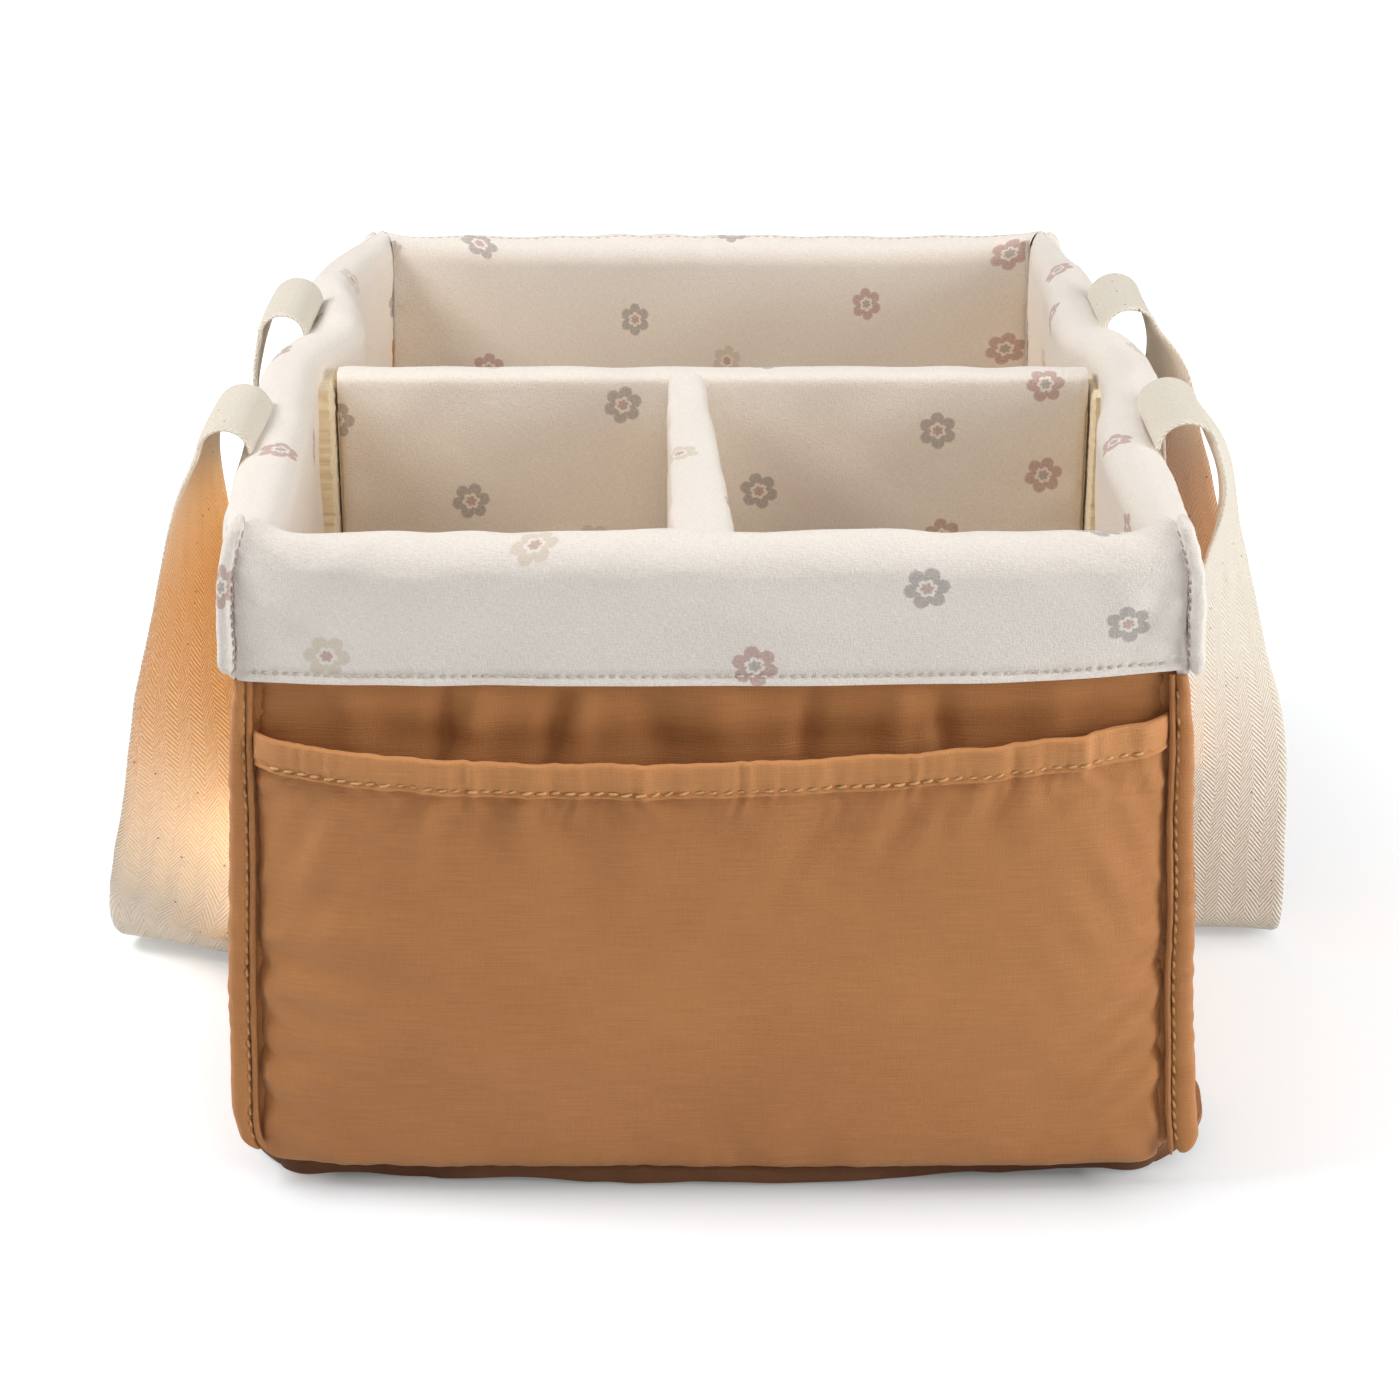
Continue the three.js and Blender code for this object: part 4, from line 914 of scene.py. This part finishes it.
def pillow(name, front, back, crown, seed, uv_shift, stands_for, body, material):
    """A covered board from two face grids: each column runs up the front face, over an arc and down the back."""
    middle = (front + back) / 2
    half = (front - back) / 2
    arc = np.linspace(0, np.pi, 15)[None, 1:-1, None]
    across = signed_power(np.cos(arc), 0.75)
    top = middle[:, -1:] + half[:, -1:] * across + np.array([0, 0, crown]) * np.sin(arc) ** 0.55
    foot = middle[:, :1] - half[:, :1] * np.cos(arc) - np.array([0, 0, 0.0006]) * np.sin(arc)
    loop = np.concatenate([front, top, back[:, ::-1], foot], axis=1)
    count, girth = loop.shape[:2]
    step = np.linalg.norm(np.diff(loop, axis=1, prepend=loop[:, -1:]), axis=-1)
    travel = np.cumsum(step, axis=1)
    run = np.linspace(0, 1, count)[:, None] * np.linalg.norm(front[-1, 0] - front[0, 0]) * np.ones((1, girth))
    edge = np.minimum(run, run[-1] - run)
    normal = np.cross(np.gradient(loop, axis=0), np.roll(loop, -1, axis=1) - np.roll(loop, 1, axis=1))
    normal /= np.maximum(np.linalg.norm(normal, axis=-1, keepdims=True), 1e-12)
    out = np.sign(np.sum(normal[count // 2, 20] * half[count // 2, 20]))
    relief = 0.0003 * ripples(run, travel, 0.04, seed, spread=1.2) + 0.8 * puckers(edge, travel, seed + 1)
    relief += 0.00035 * ripples(run, travel, 0.022, seed + 2, spread=0.3) * bell(travel - travel[0, 60], 0.02)
    loop = loop + normal * out * (relief * unit(edge / 0.004))[..., None]
    uv = join(run + uv_shift, travel)
    made = capped_piece(name, loop, uv, material, body, stands_for=stands_for, slot="lining_cotton")
    return made


divider_foot, divider_rim = 0.0077, 0.17
divider_height = np.linspace(divider_foot, divider_rim, 61)
# Both covers are full at half height and drawn in at the foot and the rim.
upright = np.linspace(-1, 1, 61)
left_end, seam, right_end = -0.1106, -0.002, 0.1116
x, z = grid_of(np.linspace(left_end, right_end, 161), divider_height)
drawn = 1 - upright[None] ** 4
share = np.where(x < seam, (x - left_end) / (seam - left_end), (x - seam) / (right_end - seam))
whole = (x - left_end) / (right_end - left_end)
round_end = 0.0014 * np.exp(-np.minimum(x - left_end, right_end - x) / 0.0007)
front_y = 0.005 - 0.0025 * 4 * share * (1 - share) * drawn + round_end
back_y = 0.017 + 0.0025 * (1 - np.abs(2 * whole - 1) ** 4) * drawn - round_end
pillow(
    "cross_divider", join(x, front_y, z), join(x, back_y, z), 0.005, 520, 4.0,
    ("cross_divider_cover", "cross_divider_core"), "divider_insert", printed_cotton("cross_print", 11.7),
)

hinge_end, free_end = 0.0048, 0.135
d, z = grid_of(np.linspace(hinge_end, free_end, 131), divider_height)
share = unit((d - 0.005) / 0.13)
round_end = 0.004 * np.exp(-(free_end - d) / 0.0014)
taper = 0.0012 * np.exp(-(d - hinge_end) / 0.001)
left_x = 0.0056 + 0.0022 * share + 0.0016 * share * (1 - share**4) * drawn - round_end - taper
right_x = 0.0048 + 0.004 * share**0.7 + 0.0022 * share * (1 - share**4) * drawn - round_end - taper
slant = -0.0071 + 0.005 * share
rise = 0.0034 * np.exp(-(d - hinge_end) / 0.018) * (z / divider_rim) ** 6
centre = pillow(
    "centre_divider", join(slant - left_x, 0.0039 - d, z + rise),
    join(slant + right_x, 0.0039 - d, z + rise), 0.005, 560, 6.0,
    ("centre_divider_cover", "centre_divider_core", "hinge_strip"), "centre_divider",
    printed_cotton("centre_print", 14.2),
)
# The cover is sewn to the cross divider: its first 8 mm stay there while the rest swings. Here it is taken off its
# body again, and its place is baked into its points.
centre.parent = None
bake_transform(centre)

# Fastening tapes: stiff cream loop tape on the walls, which frays into lint, and narrow hook tape on the ends of the
# dividers. Here the loop tape's fraying is drawn only as ragged edges.
tape, tree, output = blank_material("fastening_tape")
flat = node(tree, "UVMap", uv_map="cloth")[0]
pile = node(tree, "TexVoronoi", {"Vector": flat, "Scale": 1400.0})["Distance"]
fuzz = noise(tree, flat, 420.0, 5.0)
height = calc(tree, "ADD", pile, fuzz)
paint = mix(tree, fuzz, linear(226, 198, 150), linear(252, 236, 204))
bump = bumps(tree, height, 0.7, 0.0002)
finish(tree, output, {"Base Color": paint, "Roughness": 0.9, "Normal": bump, "Sheen Weight": 0.5})


def tape_strip(name, node_name, axis, body, near, far, seed, side=None, pile=0.0004, top=None):
    """A tape as a thick strip with a rough, wavy face, over the width and height of its solid. Along axis it lies
    between near and far, or between near and the lining of a side's wall."""
    low, high = (np.array(c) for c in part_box(node_name))
    high[2] = top or high[2]
    across = 1 - axis
    w, z = grid_of(np.linspace(low[across], high[across], 31), np.linspace(low[2], high[2], 200))
    edge = np.minimum(w - low[across], high[across] - w)
    edge = np.minimum(edge, high[2] - z)
    rough = pile * ripples(w, z, 0.0026, seed, spread=1.5) - 0.0007 * np.exp(-edge / 0.0009)
    near, far = near + 0 * w, far + 0 * w
    if side:
        half = half_depth(z) if axis == 0 else half_width(z)
        far = wall(side, w / half, z, thickness(w / half, z) - 0.0006)[..., axis]
    away = np.sign(far - near)
    front, back = np.zeros(w.shape + (3,)), np.zeros(w.shape + (3,))
    for points, level in ((front, near + away * np.abs(pile - rough)), (back, far)):
        points[..., across] = w + pile * ripples(z, w, 0.003, seed + 9, spread=1.0) * (edge < 0.0012)
        points[..., axis] = level
        points[..., 2] = z
    uv = join(w, z)
    return two_sided(name, front, back, uv, tape, body, stands_for=(node_name,), slot="fastening_tape")


tape_strip("left_loop_strip", "left_loop_tape", 0, "body", -0.1111, 0, 601, "left", 0.0005, 0.1725)
tape_strip("right_loop_strip", "right_loop_tape", 0, "body", 0.1121, 0, 602, "right", 0.0003, 0.17)
tape_strip("front_loop_strip", "front_loop_tape", 1, "body", -0.135, 0, 603, "front")
tape_strip("cross_left_hook_strip", "cross_left_hook_tape", 0, "divider_insert", -0.1112, -0.1104, 604, None, 0.0001)
tape_strip("cross_right_hook_strip", "cross_right_hook_tape", 0, "divider_insert", 0.1122, 0.1114, 605, None, 0.0001)
tape_strip("centre_hook_strip", "centre_hook_tape", 1, "centre_divider", -0.1318, -0.131, 606, None, 0.0001)

# Handles: one length of undyed herringbone webbing on each side, sewn over the rim at both ends. It hangs in a
# loop beside the wall and is folded round at the floor.

webbing, tree, output = blank_material("herringbone_webbing")
flat = node(tree, "UVMap", uv_map="cloth")[0]
part = node(tree, "SeparateXYZ", {0: flat})
zigzag = calc(tree, "PINGPONG", part[1], 0.0042)
lean = calc(tree, "MULTIPLY_ADD", zigzag, 1.5, part[0])
lean = calc(tree, "MULTIPLY", lean, 2 * math.pi / 0.0017)
twill = calc(tree, "SINE", lean)
yarn = streaks(tree, flat, 900.0, 1900.0, 3.0)
height = calc(tree, "MULTIPLY_ADD", twill, 0.5, yarn)
tone = ramp(tree, height, 0.0, 0.85)
paint = mix(tree, tone, linear(248, 229, 202), linear(255, 253, 244))
seed_spot = node(tree, "TexVoronoi", {"Vector": flat, "Scale": 260.0, "Randomness": 1.0})
near = ramp(tree, seed_spot["Distance"], 0.06, 0.1, 1.0, 0.0)
rare = node(tree, "SeparateColor", {0: seed_spot["Color"]})[0]
rare = calc(tree, "GREATER_THAN", rare, 0.62)
fleck = calc(tree, "MULTIPLY", near, rare)
paint = mix(tree, fleck, paint, linear(142, 100, 62))
bump = bumps(tree, height, 0.9, 0.00035)
shader = node(tree, "BsdfPrincipled", {"Base Color": paint, "Roughness": 0.85, "Normal": bump, "Sheen Weight": 0.15})[0]
through_light = node(tree, "BsdfTranslucent", {"Color": paint})[0]
shader = node(tree, "MixShader", {0: 0.1, 1: shader, 2: through_light})[0]
tree.links.new(shader, output.inputs["Surface"])

WEBBING_HALF = 0.02
LEFT_LEG = np.array([  # (share of the way down, then the shares of the way out, of the turn and of the way along)
    (0, 0, 0, 0), (0.067, 0.14, 0.06, 0.02), (0.109, 0.183, 0.1, 0.04), (0.198, 0.237, 0.17, 0.08),
    (0.333, 0.323, 0.27, 0.18), (0.469, 0.452, 0.35, 0.29), (0.646, 0.516, 0.51, 0.5), (0.745, 0.602, 0.61, 0.6),
    (0.876, 0.774, 0.74, 0.79), (0.96, 0.9, 0.87, 0.93), (1, 1, 1, 1),
])
RIGHT_LEG = np.array([
    (0, 0, 0, 0), (0.061, 0.26, 0.09, 0.03), (0.127, 0.36, 0.17, 0.06), (0.236, 0.4, 0.28, 0.09),
    (0.333, 0.45, 0.39, 0.18), (0.503, 0.65, 0.58, 0.35), (0.697, 0.88, 0.78, 0.59), (0.848, 0.92, 0.91, 0.79),
    (1, 1, 1, 1),
])


def strap_line(sign, exit_x, front_y, rear_y, foot, bend_turn, rows, seat_x):
    """The webbing's centre line and the direction across it: an arc over the rim, the front leg down by its rows, half
    a circle at the floor, and the same back up the rear leg. The direction across turns evenly with the leg."""
    cos, sin = math.cos(math.radians(bend_turn)), math.sin(math.radians(bend_turn))
    way = np.array([-cos, sin, 0.0])
    down = np.linspace(0, 1, 90)
    start = np.array([sign * foot[0], foot[1], 0.0154])
    end = start + way * 0.024

    def leg(top_y, at, from_turn):
        out, meet = through(rows, down, 1), through(rows, down, 3)
        turn = np.radians(from_turn + (bend_turn - from_turn) * through(rows, down, 2))
        x = sign * exit_x + (at[0] - sign * exit_x) * out
        line = join(x, top_y + (at[1] - top_y) * meet, 0.18 + (at[2] - 0.18) * down)
        return line, join(-np.sin(turn), -np.cos(turn), 0 * turn)

    def tab(y, across):
        a = np.linspace(np.pi * 1.0, 0, 40)[:-1]
        x = (exit_x + seat_x) / 2 + (exit_x - seat_x) / 2 * np.cos(a)
        line = join(sign * x, 0 * a + y, 0.1801 + 0 * a + 0.007 * np.sin(a))
        return line, np.broadcast_to(across, line.shape)

    a = np.linspace(0, np.pi, 40)[1:-1, None]
    bend = start + way * 0.012 * (1 - np.cos(a)) - np.array([0, 0, 0.012]) * np.sin(a)
    front, front_wide = leg(front_y, start, 0.0)
    rear, rear_wide = leg(rear_y, end, 180.0)
    front_tab, front_tab_wide = tab(front_y, np.array([0.0, -1.0, 0.0]))
    rear_tab, rear_tab_wide = tab(rear_y, np.array([0.0, 1.0, 0.0]))
    line = np.concatenate([front_tab, front, bend, rear[::-1], rear_tab[::-1]])
    bend_wide = np.broadcast_to((-sin, -cos, 0.0), bend.shape)
    wide = np.concatenate([front_tab_wide, front_wide, bend_wide, rear_wide[::-1], rear_tab_wide[::-1]])
    for _ in range(6):
        line[1:-1] = (line[:-2] + 2 * line[1:-1] + line[2:]) / 4
        wide = np.concatenate([wide[:1], (wide[:-2] + 2 * wide[1:-1] + wide[2:]) / 4, wide[-1:]])
    tangent = np.gradient(line, axis=0)
    tangent /= np.linalg.norm(tangent, axis=1, keepdims=True)
    wide = wide - tangent * np.sum(wide * tangent, axis=1, keepdims=True)
    wide /= np.linalg.norm(wide, axis=1, keepdims=True)
    return line, wide, np.cross(wide, tangent)


for number, (name, sign, exit_x, *hang) in enumerate((
    ("left", -1, 0.137, -0.062, 0.048, (0.1635, -0.034), 108, LEFT_LEG, 0.1225),
    ("right", 1, 0.1345, -0.058, 0.052, (0.154, -0.024), 90, RIGHT_LEG, 0.1195),
)):
    line, wide, thick_way = strap_line(sign, exit_x, *hang)
    travel = np.concatenate([[0], np.cumsum(np.linalg.norm(np.diff(line, axis=0), axis=1))])
    s, v = grid_of(travel, np.linspace(-1, 1, 41))
    cup = 0.0007 * ripples(s, v * WEBBING_HALF, 0.06, 700 + number, spread=0.4) * v
    cup += 0.0009 * v**2 * np.sin(s / 0.031 + number)
    edge = 0.00018 * bell(np.abs(v) - 0.93, 0.04)
    spread = wide[:, None] * (v * (WEBBING_HALF + 0.00015 * ripples(s, 0 * s, 0.02, 705)))[..., None]
    cup *= unit(np.minimum(s, travel[-1] - s) / 0.02)
    middle = line[:, None] + spread + thick_way[:, None] * cup[..., None]
    half = 0.0007 * (1 - 0.8 * np.abs(v) ** 24) + edge
    uv = join(s + number * 0.7, v * WEBBING_HALF + 0.5)
    strap = two_sided(
        f"{name}_strap", middle + thick_way[:, None] * half[..., None], middle - thick_way[:, None] * half[..., None],
        uv, webbing, "body", stands_for=(f"{name}_handle", f"{name}_front_tab", f"{name}_rear_tab"), slot="webbing",
    )
    strap.parent = None
    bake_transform(strap)
